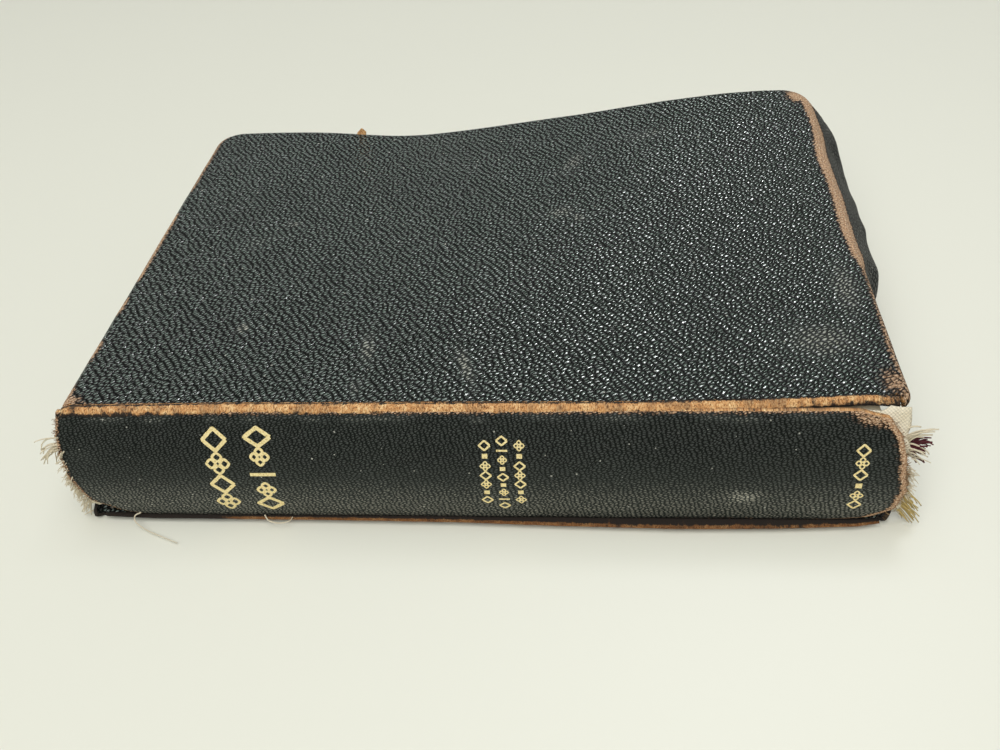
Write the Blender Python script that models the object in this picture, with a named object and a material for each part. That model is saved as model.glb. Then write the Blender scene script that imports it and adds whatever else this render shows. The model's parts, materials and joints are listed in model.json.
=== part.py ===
"""A worn limp-leather bible, closed and lying on its back cover.

X runs from the head (-X) to the tail (+X) of the spine, Y from the spine (-Y) to the fore-edge (+Y),
and Z up. The origin is the middle of the back cover's outer face, which rests at Z = 0.
"""

import math

import bmesh
import bpy
from mathutils import Matrix, Vector

MM = 0.001

# Overall sizes
COVER_LENGTH = 207 * MM  # head to tail
COVER_WIDTH = 144 * MM  # joint to fore-edge
SPINE_THICKNESS = 33.5 * MM  # outside, from joint to joint
PAGE_SQUARE = 7 * MM  # how far the covers reach past the pages at the head and tail
FORE_SQUARE = 14 * MM  # how much narrower the pages are than the covers
SPINE_SQUARE = 1 * MM  # how much shorter the spine leather is at each end, on average

# Sheets and skins
LEATHER = 1.1 * MM
BOARD = 1.0 * MM
PAPER = 0.25 * MM
MULL = 0.4 * MM
SPINE_PAPER = 0.3 * MM
THREAD = 0.4 * MM
CLEARANCE = 0.3 * MM  # between two pieces that lie on each other
LEAF_GAP = 0.06 * MM  # between gatherings where the book is thinnest

# Spine and joints
LEAN = 7.5 * MM  # how far the spine slopes towards -Y from the front joint to the back joint
ROUND = 3.6 * MM  # how far the spine swells past the straight line between its joints
JOINT_GROOVE = 1.5 * MM  # bare height between the spine leather and each joint
BOARD_SETBACK = 4 * MM  # from a joint to its board

# Turned edges of the covers
ROLL_RADIUS = 2.6 * MM
FRONT_FLAP = 13 * MM
BACK_FLAP = 12 * MM
FLAP_LEAN = 1.5 * MM  # how far a flap's free edge leans in towards the pages
TAIL_FLARE = 8.5 * MM  # how far the front cover's tail flap stands out instead
TAIL_LIFT = 4 * MM  # and how much higher its free edge then ends
FLARE_START = 34 * MM  # from the joint to where that flare begins
FLARE_RAMP = 24 * MM
FLAP_TAPER = 15 * MM  # a flap grows to its full depth over this length from the joint
FLAP_START = 0.12  # and has this share of it at the joint
FORE_CORNER = 9.5 * MM
SPINE_CORNER = 5 * MM
PAGE_CORNER = 6 * MM
BOARD_INSET = 2.8 * MM  # from the leather's inside to its board
PASTEDOWN_INSET = 0.8 * MM  # from the board's edge to the pastedown's

# Warp of the front cover, largest at the fore-edge
CORNER_RAISE = 10 * MM
RAISE_FROM, RAISE_TO = 0.42, 0.93  # shares of the length from head to tail
EDGE_DIP = 2.8 * MM
DIP_AT, DIP_SPREAD = 0.33, 0.12  # shares of the length
WARP_POWER = 1.6

# Text block
GATHERINGS = 20
FRONT_GATHERINGS = 10
STITCH_COLUMNS = 5
STITCH_WIDTH = 1.2 * MM
STITCH_INSET = 14 * MM  # from the ends of the pages to the outer stitches
BAND_RADIUS = 1.0 * MM

# Sizes that follow from the covers'
PAGE_LENGTH = COVER_LENGTH - 2 * PAGE_SQUARE
PAGE_WIDTH = COVER_WIDTH - FORE_SQUARE
SPINE_LENGTH = COVER_LENGTH - 2 * SPINE_SQUARE

# Joint lines, along X
BACK_JOINT = Vector((0, -COVER_WIDTH / 2, 0))
FRONT_JOINT = BACK_JOINT + Vector((0, LEAN, SPINE_THICKNESS))

# Depths from the outside of a cover
BOARD_DEPTH = LEATHER + CLEARANCE
PASTEDOWN_DEPTH = BOARD_DEPTH + BOARD + CLEARANCE
FLYLEAF_DEPTH = PASTEDOWN_DEPTH + PAPER + CLEARANCE
BLOCK_DEPTH = FLYLEAF_DEPTH + PAPER + CLEARANCE

# Depths from the outside of the spine
SPINE_PAPER_DEPTH = LEATHER + CLEARANCE
MULL_DEPTH = SPINE_PAPER_DEPTH + SPINE_PAPER + CLEARANCE
STITCH_DEPTH = MULL_DEPTH + MULL + CLEARANCE
FOLD_DEPTH = STITCH_DEPTH + THREAD + 2 * CLEARANCE

THINNEST_BLOCK = SPINE_THICKNESS - EDGE_DIP - 2 * BLOCK_DEPTH
GATHERING = THINNEST_BLOCK / GATHERINGS - LEAF_GAP

CURVE_STEPS = 3  # segments in a quarter round
SPINE_STEPS = 8  # segments up the round of the spine
BAND_SIDES = 8
FOLD_TURN = 0.9  # radians, from a fold's middle to its last point above and below
LENGTH_STEPS, WIDTH_STEPS = 10, 5  # warped pieces share these stations, so that neighbours nest


def smooth(t):
    t = min(max(t, 0.0), 1.0)
    return t * t * (3 - 2 * t)


def spread(low, high, count):
    """Evenly spaced values from low to high, both included, in count steps."""
    return [low + (high - low) * i / count for i in range(count + 1)]


def length_stations():
    return spread(FORE_CORNER - COVER_LENGTH / 2, COVER_LENGTH / 2 - FORE_CORNER, LENGTH_STEPS)


def width_stations(joint_y):
    low = joint_y + BOARD_SETBACK + SPINE_CORNER
    return spread(low, joint_y + COVER_WIDTH - FORE_CORNER, WIDTH_STEPS)


def add_quad(bm, a, b, c, d):
    """Two triangles whose shared edge climbs in Y as X grows, so stacked sheets crease alike."""
    if (c.co.x - a.co.x) * (c.co.y - a.co.y) >= 0:
        bm.faces.new((a, b, c))
        bm.faces.new((a, c, d))
    else:
        bm.faces.new((a, b, d))
        bm.faces.new((b, c, d))


# ---------------------------------------------------------------- shapes shared by the pieces


def front_height(x, y):
    """Height of the front cover's outer face."""
    along = x / COVER_LENGTH + 0.5
    across = min(max((y - FRONT_JOINT.y) / COVER_WIDTH, 0.0), 1.0)
    raised = CORNER_RAISE * smooth((along - RAISE_FROM) / (RAISE_TO - RAISE_FROM))
    dipped = EDGE_DIP * math.exp(-(((along - DIP_AT) / DIP_SPREAD) ** 2))
    return SPINE_THICKNESS + (raised - dipped) * across**WARP_POWER


def back_height(x, y):
    return 0.0


def spine_face(z):
    """Y of the spine's outer face at height z."""
    share = z / SPINE_THICKNESS
    return FRONT_JOINT.y + LEAN * (share - 1) - ROUND * (1 - (2 * share - 1) ** 2)


MIDDLE_JOINT = Vector((0, spine_face(SPINE_THICKNESS / 2), SPINE_THICKNESS / 2))


# ---------------------------------------------------------------- building blocks


def material(name, colour, roughness):
    made = bpy.data.materials.new(name)
    made.use_nodes = True
    shader = made.node_tree.nodes["Principled BSDF"]
    shader.inputs["Base Color"].default_value = (*colour, 1)
    shader.inputs["Roughness"].default_value = roughness
    shader.inputs["Metallic"].default_value = 0
    return made


def add_object(name, mesh, finish, hinge):
    """An object whose origin is its hinge empty's, on the joint line that it turns about."""
    mesh.materials.append(finish)
    mesh.transform(Matrix.Translation(-hinge.matrix_world.translation))
    made = bpy.data.objects.new(name, mesh)
    bpy.context.scene.collection.objects.link(made)
    made.parent = hinge
    return made


def hinge_empty(name, place, parent=None):
    made = bpy.data.objects.new(name, None)
    bpy.context.scene.collection.objects.link(made)
    made.location = place - (parent.matrix_world.translation if parent else Vector())
    made.parent = parent
    bpy.context.view_layer.update()
    return made


def solidify(made, thickness):
    modifier = made.modifiers.new("thickness", "SOLIDIFY")
    modifier.thickness = thickness
    modifier.offset = -1
    modifier.use_even_offset = True


def loft(name, sections, finish, hinge):
    """A closed solid through closed loops of the same number of points, capped at both ends."""
    bm = bmesh.new()
    loops = [[bm.verts.new(point) for point in section] for section in sections]
    count = len(loops[0])
    for a, b in zip(loops, loops[1:]):
        for i in range(count):
            j = (i + 1) % count
            add_quad(bm, a[i], a[j], b[j], b[i])
    bm.faces.new(loops[0])
    bm.faces.new(reversed(loops[-1]))
    bmesh.ops.recalc_face_normals(bm, faces=bm.faces)
    mesh = bpy.data.meshes.new(name)
    bm.to_mesh(mesh)
    bm.free()
    return add_object(name, mesh, finish, hinge)


class Outline:
    """A rectangle with round corners, inset on every side but the joint's."""

    def __init__(self, joint_y, inset, setback=0.0):
        self.joint_y = joint_y
        self.half = COVER_LENGTH / 2 - inset
        self.low = joint_y + setback
        self.high = joint_y + COVER_WIDTH - inset
        self.low_radius = SPINE_CORNER
        self.high_radius = FORE_CORNER - inset

    def rounded(self, x, y):
        """A point of the plain rectangle, moved so that the corners become round."""
        upper = y > (self.low + self.high) / 2
        radius = self.high_radius if upper else self.low_radius
        centre = self.high - radius if upper else self.low + radius
        side = 1 if upper else -1
        a = (abs(x) - self.half + radius) / radius
        b = side * (y - centre) / radius
        if a <= 0 or b <= 0:
            return x, y
        round_a = a * math.sqrt(1 - b * b / 2)
        round_b = b * math.sqrt(1 - a * a / 2)
        across = self.half - radius + round_a * radius
        return math.copysign(across, x), centre + side * round_b * radius

    def outward(self, x, y):
        """The level direction that leads away from a point of the head, fore-edge or tail."""
        centre_x = self.half - self.high_radius
        centre_y = self.high - self.high_radius
        if y > centre_y:
            nearest = Vector((max(min(x, centre_x), -centre_x), centre_y, 0))
            return (Vector((x, y, 0)) - nearest).normalized()
        low_y = self.low + self.low_radius
        low_x = math.copysign(self.half - self.low_radius, x)
        return Vector((x - low_x, min(y - low_y, 0), 0)).normalized()

    def lines(self):
        """The rectangle's grid lines: X values, then Y values."""
        corner = [self.high_radius * i / CURVE_STEPS for i in range(CURVE_STEPS)]
        head = [-self.half + c for c in corner]
        tail = [self.half - c for c in reversed(corner)]
        low = [self.low + self.low_radius * i / CURVE_STEPS for i in range(CURVE_STEPS)]
        high = [self.high - c for c in reversed(corner)]
        return head + length_stations() + tail, low + width_stations(self.joint_y) + high


def sheet_grid(bm, outline, height):
    """A grid of vertices over the outline, at the given height, as rows along X."""
    xs, ys = outline.lines()
    grid = []
    for y in ys:
        row = [outline.rounded(x, y) for x in xs]
        grid.append([bm.verts.new((u, v, height(u, v))) for u, v in row])
    for near, far in zip(grid, grid[1:]):
        for i in range(len(xs) - 1):
            add_quad(bm, near[i], near[i + 1], far[i + 1], far[i])
    return grid


def flat_sheet(name, outline, face, thickness, side, finish, hinge):
    """A board or a leaf: face gives its upper surface for side 1, its lower one for side -1."""
    bm = bmesh.new()
    sheet_grid(bm, outline, face)
    if side < 0:
        bmesh.ops.reverse_faces(bm, faces=bm.faces)
    mesh = bpy.data.meshes.new(name)
    bm.to_mesh(mesh)
    bm.free()
    made = add_object(name, mesh, finish, hinge)
    solidify(made, thickness)
    return made


def flap_profile(depth, flare):
    """(outward, inward-from-the-face) steps of a turned edge: a quarter roll and then the flap."""
    steps = []
    for i in range(1, CURVE_STEPS + 1):
        turn = math.pi / 2 * i / CURVE_STEPS
        steps.append((ROLL_RADIUS * math.sin(turn), ROLL_RADIUS * (1 - math.cos(turn))))
    out = TAIL_FLARE * flare - FLAP_LEAN * (1 - flare)
    down = depth - ROLL_RADIUS - TAIL_LIFT * flare
    for share in (0.5, 1.0):
        steps.append((ROLL_RADIUS + out * share, ROLL_RADIUS + down * share))
    return steps


def cover_skin(name, joint_y, height, side, depth, flares, finish, hinge):
    """Cover leather, turned over at the head, fore-edge and tail; side is 1 for the front cover."""
    outline = Outline(joint_y, ROLL_RADIUS)
    bm = bmesh.new()
    grid = sheet_grid(bm, outline, height)
    chain = [row[0] for row in grid] + grid[-1][1:-1] + [row[-1] for row in reversed(grid)]
    rings = [chain]
    for _ in flap_profile(depth, 0):
        rings.append([])
    for vertex in chain:
        x, y, z = vertex.co
        away = outline.outward(x, y)
        taper = FLAP_START + (1 - FLAP_START) * smooth((y - joint_y) / FLAP_TAPER)
        reach = smooth((y - joint_y - FLARE_START) / FLARE_RAMP)
        flare = flares * reach * max(away.x, 0.0) ** 2
        for ring, (out, drop) in zip(rings[1:], flap_profile(depth, flare)):
            ring.append(bm.verts.new(vertex.co + (away * out - Vector((0, 0, side * drop))) * taper))
    for upper, lower in zip(rings, rings[1:]):
        for i in range(len(chain) - 1):
            add_quad(bm, upper[i], upper[i + 1], lower[i + 1], lower[i])
    if side < 0:
        bmesh.ops.reverse_faces(bm, faces=bm.faces)
    mesh = bpy.data.meshes.new(name)
    bm.to_mesh(mesh)
    bm.free()
    made = add_object(name, mesh, finish, hinge)
    solidify(made, LEATHER)
    return made


# ---------------------------------------------------------------- the pieces


def block_level(share, x, y):
    """Height inside the text block: share 0 is its lower face and 1 its upper face."""
    low = BLOCK_DEPTH
    high = front_height(x, y) - BLOCK_DEPTH
    return low + (high - low) * share


def gathering(name, share, finish, hinge):
    """One folded section of leaves: round at its fold and at the fore-edge corners."""
    half = GATHERING / 2
    fold_y = spine_face(block_level(share, 0, FRONT_JOINT.y)) + FOLD_DEPTH + half
    end = PAGE_LENGTH / 2
    turns = spread(0, math.pi / 2, CURVE_STEPS)
    corner = [PAGE_CORNER * (1 - math.cos(turn)) for turn in turns]
    stations = [(-end + d, d) for d in corner]
    straight = end - PAGE_CORNER - CLEARANCE
    stations += [(x, PAGE_CORNER) for x in length_stations() if abs(x) < straight]
    stations += [(end - d, d) for d in reversed(corner)]
    sections = []
    for x, d in stations:
        cut = PAGE_CORNER - math.sqrt(max(PAGE_CORNER**2 - (PAGE_CORNER - d) ** 2, 0.0))
        fore_y = fold_y + PAGE_WIDTH - half - cut
        last_y = fold_y + PAGE_WIDTH - 2 * PAGE_CORNER
        inner = [y for y in width_stations(FRONT_JOINT.y) if y < last_y]
        ys = [fold_y, *inner, fore_y]
        middle = [Vector((x, y, block_level(share, x, y))) for y in ys]
        lower = [point - Vector((0, 0, half)) for point in middle]
        upper = [point + Vector((0, 0, half)) for point in reversed(middle)]
        fold = []
        for turn in (FOLD_TURN, 0, -FOLD_TURN):
            fold.append(middle[0] + half * Vector((0, -math.cos(turn), math.sin(turn))))
        sections.append(lower + upper + fold)
    return loft(name, sections, finish, hinge)


def spine_shell(name, depth, thickness, half_length, centre_x, low, high, finish, hinge):
    """A strip that follows the spine's round, between two heights and at a depth from its face."""
    heights = spread(low, high, SPINE_STEPS)
    sections = []
    for x in (centre_x - half_length, centre_x + half_length):
        outer = [Vector((x, spine_face(z) + depth, z)) for z in heights]
        inner = [Vector((x, spine_face(z) + depth + thickness, z)) for z in reversed(heights)]
        sections.append(outer + inner)
    return loft(name, sections, finish, hinge)


def end_band(name, centre_x, finish, hinge):
    """A sewn band across the folds at one end of the spine."""
    low = BLOCK_DEPTH + GATHERING
    high = SPINE_THICKNESS - BLOCK_DEPTH - GATHERING
    sections = []
    turns = [2 * math.pi * i / BAND_SIDES for i in range(BAND_SIDES)]
    ring = [BAND_RADIUS * Vector((math.cos(turn), math.sin(turn), 0)) for turn in turns]
    for z in spread(low, high, SPINE_STEPS):
        centre = Vector((centre_x, spine_face(z) + FOLD_DEPTH + BAND_RADIUS, z))
        sections.append([centre + spoke for spoke in ring])
    return loft(name, sections, finish, hinge)


def build():
    leather = material("black_goatskin", (0.018, 0.020, 0.019), 0.42)
    board = material("cover_board", (0.42, 0.36, 0.27), 0.9)
    lining = material("endpaper", (0.62, 0.56, 0.44), 0.85)
    paper = material("bible_paper", (0.80, 0.74, 0.60), 0.8)
    kraft = material("kraft_paper", (0.40, 0.27, 0.15), 0.9)
    cloth = material("mull_cloth", (0.78, 0.73, 0.62), 0.95)
    thread = material("linen_thread", (0.85, 0.82, 0.74), 0.8)
    band = material("band_silk", (0.30, 0.03, 0.05), 0.6)

    back = hinge_empty("back_cover_body", BACK_JOINT)
    rear = hinge_empty("back_joint_hinge", BACK_JOINT, back)
    gutter = Vector((0, BOARD_SETBACK, FLYLEAF_DEPTH + PAPER / 2))
    back_leaf = hinge_empty("back_flyleaf_hinge", BACK_JOINT + gutter, back)
    front = hinge_empty("middle_opening_hinge", MIDDLE_JOINT, rear)
    cover = hinge_empty("front_joint_hinge", FRONT_JOINT, front)
    front_gutter = FRONT_JOINT + Vector((0, gutter.y, -gutter.z))
    front_leaf = hinge_empty("front_flyleaf_hinge", front_gutter, front)

    board_inset = LEATHER + BOARD_INSET
    leaf_inset = board_inset + PASTEDOWN_INSET
    covers = (
        ("back", BACK_JOINT.y, back_height, -1, BACK_FLAP, 0, back, back_leaf),
        ("front", FRONT_JOINT.y, front_height, 1, FRONT_FLAP, 1, cover, front_leaf),
    )
    for end, joint_y, height, side, flap, flares, hinge, leaf_hinge in covers:

        def inner(depth, height=height, side=side):
            return lambda x, y: height(x, y) - side * depth

        cover_skin(f"{end}_cover_leather", joint_y, height, side, flap, flares, leather, hinge)
        board_edge = Outline(joint_y, board_inset, BOARD_SETBACK)
        flat_sheet(f"{end}_cover_board", board_edge, inner(BOARD_DEPTH), BOARD, side, board, hinge)
        leaf_edge = Outline(joint_y, leaf_inset, BOARD_SETBACK)
        flat_sheet(f"{end}_pastedown", leaf_edge, inner(PASTEDOWN_DEPTH), PAPER, side, lining, hinge)
        fly_edge = Outline(joint_y, PAGE_SQUARE, BOARD_SETBACK)
        flat_sheet(f"{end}_flyleaf", fly_edge, inner(FLYLEAF_DEPTH), PAPER, side, lining, leaf_hinge)

    for i in range(GATHERINGS):
        share = 1 - (i + 0.5) / GATHERINGS
        gathering(f"gathering_{i + 1:02d}", share, paper, front if i < FRONT_GATHERINGS else rear)

    span = (JOINT_GROOVE, SPINE_THICKNESS - JOINT_GROOVE)
    spine_half = SPINE_LENGTH / 2
    spine_x = CLEARANCE - COVER_LENGTH / 2 + spine_half
    spine_shell("spine_leather", 0, LEATHER, spine_half, spine_x, *span, leather, rear)
    span = (BLOCK_DEPTH, SPINE_THICKNESS - BLOCK_DEPTH)
    page_half = PAGE_LENGTH / 2
    spine_shell("spine_lining_paper", SPINE_PAPER_DEPTH, SPINE_PAPER, page_half, 0, *span, kraft, rear)
    spine_shell("spine_mull", MULL_DEPTH, MULL, page_half, 0, *span, cloth, rear)
    stitch_reach = page_half - STITCH_INSET
    for i, x in enumerate(spread(-stitch_reach, stitch_reach, STITCH_COLUMNS - 1)):
        name = f"sewing_stitches_{i + 1}"
        spine_shell(name, STITCH_DEPTH, THREAD, STITCH_WIDTH / 2, x, *span, thread, rear)
    band_x = page_half + CLEARANCE + BAND_RADIUS
    end_band("head_band", -band_x, band, rear)
    end_band("tail_band", band_x, band, rear)


for old in list(bpy.data.objects):
    bpy.data.objects.remove(old)
build()
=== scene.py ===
"""The looks of a worn limp-leather bible that lies closed on its back cover.

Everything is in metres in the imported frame: X from head to tail, Y from the spine to the fore-edge, Z up.
Patterns are worked out in millimetres on "lay", each point's place on its skin or sheet laid out flat.
"""
import json
import math

import bpy
import numpy as np
from mathutils import Matrix, Vector


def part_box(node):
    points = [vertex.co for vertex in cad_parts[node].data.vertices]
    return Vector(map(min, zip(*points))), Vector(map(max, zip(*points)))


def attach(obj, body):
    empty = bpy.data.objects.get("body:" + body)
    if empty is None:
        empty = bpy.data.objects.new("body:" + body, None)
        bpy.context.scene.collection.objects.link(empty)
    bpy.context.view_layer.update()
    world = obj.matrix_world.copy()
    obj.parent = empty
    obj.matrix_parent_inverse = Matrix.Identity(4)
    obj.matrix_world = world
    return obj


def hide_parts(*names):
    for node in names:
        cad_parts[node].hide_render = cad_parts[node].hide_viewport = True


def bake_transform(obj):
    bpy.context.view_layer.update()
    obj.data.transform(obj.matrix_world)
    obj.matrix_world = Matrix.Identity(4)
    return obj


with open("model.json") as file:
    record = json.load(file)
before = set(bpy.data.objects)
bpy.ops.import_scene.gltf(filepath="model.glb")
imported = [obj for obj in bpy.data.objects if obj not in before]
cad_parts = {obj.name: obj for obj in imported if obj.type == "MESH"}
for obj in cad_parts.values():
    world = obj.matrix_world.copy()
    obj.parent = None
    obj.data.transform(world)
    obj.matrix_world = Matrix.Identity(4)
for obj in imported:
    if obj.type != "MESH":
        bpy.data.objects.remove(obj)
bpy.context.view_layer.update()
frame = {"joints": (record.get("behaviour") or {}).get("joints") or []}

MM = 0.001

# ---------------------------------------------------------------- sizes read from the frame
joints = {joint["name"]: joint for joint in frame["joints"]}
FRONT_JOINT = Vector(joints["front_cover_opening"]["pos_m"])
BACK_JOINT = Vector(joints["back_cover_opening"]["pos_m"])
MIDDLE_JOINT = Vector(joints["middle_opening"]["pos_m"])
HALF_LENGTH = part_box("back_cover_leather")[1].x
COVER_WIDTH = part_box("back_cover_leather")[1].y - BACK_JOINT.y
THICK = FRONT_JOINT.z
LEAN = FRONT_JOINT.y - BACK_JOINT.y
ROUND = FRONT_JOINT.y - LEAN / 2 - MIDDLE_JOINT.y
PAGE_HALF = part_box("gathering_10")[1].x
PAGE_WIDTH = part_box("gathering_10")[1].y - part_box("gathering_10")[0].y
GATHERINGS = 20
FRONT_GATHERINGS = 10

# Sizes that the frame has no box for
LEATHER = 1.1 * MM
BLOCK_DEPTH = 3.8 * MM  # from a cover's outer face to the text block
ROLL_RADIUS = 2.6 * MM
FORE_CORNER = 9.5 * MM
PAGE_CORNER = 6 * MM
CORNER_RAISE = 10 * MM
RAISE_FROM, RAISE_TO = 0.42, 0.93
EDGE_DIP = 2.8 * MM
DIP_AT, DIP_SPREAD = 0.33, 0.12
WARP_POWER = 1.6


# ---------------------------------------------------------------- small helpers
def smooth(t):
    t = np.clip(t, 0.0, 1.0)
    return t * t * (3 - 2 * t)


def bump_at(value, centre, width):
    """1 at the centre, falling away over about the width."""
    return np.exp(-(((value - centre) / width) ** 2))


def ripple(x, y, size, seed):
    """Soft noise from -1 to 1 whose waves are about size long."""
    table = np.random.RandomState(seed).uniform(-1, 1, (64, 64))
    u, v = np.asarray(x) / size + 31.7, np.asarray(y) / size + 17.3
    i, j = np.floor(u).astype(int), np.floor(v).astype(int)
    a, b = smooth(u - i), smooth(v - j)
    near = table[i % 64, j % 64] * (1 - a) + table[(i + 1) % 64, j % 64] * a
    far = table[i % 64, (j + 1) % 64] * (1 - a) + table[(i + 1) % 64, (j + 1) % 64] * a
    return near * (1 - b) + far * b


def steps(low, high, size):
    """Values from low to high, both included, about size apart."""
    return np.linspace(low, high, max(2, int(round((high - low) / size)) + 1))


def front_height(x, y):
    """Height of the front cover's outer face: it dips near the head and rises at the tail's fore-edge."""
    along = x / (2 * HALF_LENGTH) + 0.5
    across = np.clip((y - FRONT_JOINT.y) / COVER_WIDTH, 0.0, 1.0)
    raised = CORNER_RAISE * smooth((along - RAISE_FROM) / (RAISE_TO - RAISE_FROM))
    dipped = EDGE_DIP * bump_at(along, DIP_AT, DIP_SPREAD)
    return THICK + (raised - dipped) * across**WARP_POWER


def spine_face(z):
    share = z / THICK
    return FRONT_JOINT.y + LEAN * (share - 1) - ROUND * (1 - (2 * share - 1) ** 2)


# ---------------------------------------------------------------- meshes
def new_mesh(name, points, faces, materials, attributes=(), face_slots=None):
    """A mesh piece with smooth faces, its materials and its named values per point."""
    mesh = bpy.data.meshes.new(name)
    corners = faces.tolist() if isinstance(faces, np.ndarray) else faces
    mesh.from_pydata(np.asarray(points).tolist(), [], corners)
    for key, values in dict(attributes).items():
        values = np.asarray(values, np.float32)
        kind, field = ("FLOAT", "value") if values.ndim == 1 else ("FLOAT_VECTOR", "vector")
        mesh.attributes.new(key, kind, "POINT").data.foreach_set(field, values.ravel())
    for finish in materials:
        mesh.materials.append(finish)
    mesh.polygons.foreach_set("use_smooth", [True] * len(mesh.polygons))
    if face_slots is not None:
        mesh.polygons.foreach_set("material_index", np.asarray(face_slots, np.int32))
    mesh.update()
    made = bpy.data.objects.new(name, mesh)
    bpy.context.scene.collection.objects.link(made)
    return made


def grid_faces(rows, columns, first=0):
    """Quads between a grid's points, counted along its rows."""
    index = first + np.arange(rows * columns).reshape(rows, columns)
    return np.stack([index[:-1, :-1], index[:-1, 1:], index[1:, 1:], index[1:, :-1]], -1).reshape(-1, 4)


def shell(name, outer, inner, materials, attributes):
    """A closed sheet between two grids of the same shape; its cut edges take the last material."""
    rows, columns = outer.shape[:2]
    count = rows * columns
    index = np.arange(count).reshape(rows, columns)
    rim = np.concatenate([index[0], index[1:, -1], index[-1, -2::-1], index[-2:0:-1, 0]])
    after = np.roll(rim, -1)
    edge = np.stack([after, rim, rim + count, after + count], -1)
    face = grid_faces(rows, columns)
    faces = np.concatenate([face, face[:, ::-1] + count, edge])
    slots = np.concatenate([np.zeros(2 * len(face)), np.full(len(edge), len(materials) - 1)])
    doubled = {key: np.concatenate([v.reshape(count, -1)] * 2).squeeze() for key, v in attributes.items()}
    points = np.concatenate([outer.reshape(-1, 3), inner.reshape(-1, 3)])
    return new_mesh(name, points, faces, materials, doubled, slots)


def tubes(name, paths, radii, finish, sides=5):
    """Threads: one closed tube along each path."""
    points, faces, lay = [], [], []
    for path, radius in zip(paths, radii):
        path = np.asarray(path, float)
        along = np.gradient(path, axis=0)
        along /= np.linalg.norm(along, axis=1)[:, None] + 1e-12
        across = np.cross(along, [0.31, 0.17, 0.93])
        across /= np.linalg.norm(across, axis=1)[:, None] + 1e-12
        up = np.cross(along, across)
        turn = np.arange(sides) * 2 * math.pi / sides
        thin = radius * np.linspace(1.0, 0.55, len(path))[:, None, None]
        ring = across[:, None] * np.cos(turn)[None, :, None] + up[:, None] * np.sin(turn)[None, :, None]
        first = len(points)
        points += (path[:, None] + thin * ring).reshape(-1, 3).tolist()
        run = np.cumsum(np.linalg.norm(np.diff(path, axis=0, prepend=path[:1]), axis=1)) / MM
        lay += [(r, t, 0) for r in run for t in turn]
        for i in range(len(path) - 1):
            for j in range(sides):
                a, b = first + i * sides + j, first + i * sides + (j + 1) % sides
                faces.append((a, b, b + sides, a + sides))
        last = first + (len(path) - 1) * sides
        faces.append(tuple(range(first + sides - 1, first - 1, -1)))
        faces.append(tuple(range(last, last + sides)))
    return new_mesh(name, points, faces, [finish], {"lay": lay})


# ---------------------------------------------------------------- materials
def linear(code, alpha=1.0):
    """An sRGB hex colour as linear RGBA."""
    parts = [int(code[i : i + 2], 16) / 255 for i in (1, 3, 5)]
    return (*[c / 12.92 if c <= 0.04045 else ((c + 0.055) / 1.055) ** 2.4 for c in parts], alpha)


def feed(tree, node, inputs):
    """Set a node's inputs to values, or link them to sockets or to other nodes' first outputs in use."""
    for key, value in dict(inputs).items():
        if isinstance(value, bpy.types.Node):
            value = next(socket for socket in value.outputs if socket.enabled)
        if isinstance(value, bpy.types.NodeSocket):
            tree.links.new(value, node.inputs[key])
        else:
            node.inputs[key].default_value = value


def add(tree, kind, inputs=(), stops=(), **settings):
    """A node with its settings, its inputs, and its ramp's stops."""
    made = tree.nodes.new("ShaderNode" + kind)
    for key, value in settings.items():
        setattr(made, key, value)
    feed(tree, made, inputs)
    for i, (place, code) in enumerate(stops):
        stop = made.color_ramp.elements[i] if i < 2 else made.color_ramp.elements.new(place)
        stop.position, stop.color = place, linear(code)
    return made


def start(name, roughness=0.8, solid=False, **values):
    """A new material, its node tree, its shader, and its coordinates in millimetres: laid flat, or solid."""
    made = bpy.data.materials.new(name)
    made.use_nodes = True
    tree = made.node_tree
    shader = tree.nodes["Principled BSDF"]
    shader.inputs["Roughness"].default_value = roughness
    for key, value in values.items():
        shader.inputs[key.replace("_", " ")].default_value = value
    if not solid:
        return made, tree, shader, add(tree, "Attribute", attribute_name="lay").outputs["Vector"]
    place = add(tree, "TexCoord").outputs["Object"]
    place = add(tree, "VectorMath", {0: place, "Scale": 1 / MM}, operation="SCALE")
    return made, tree, shader, place


GRAIN_LENGTH = 2.0  # pebbles are this much longer than wide


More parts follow.
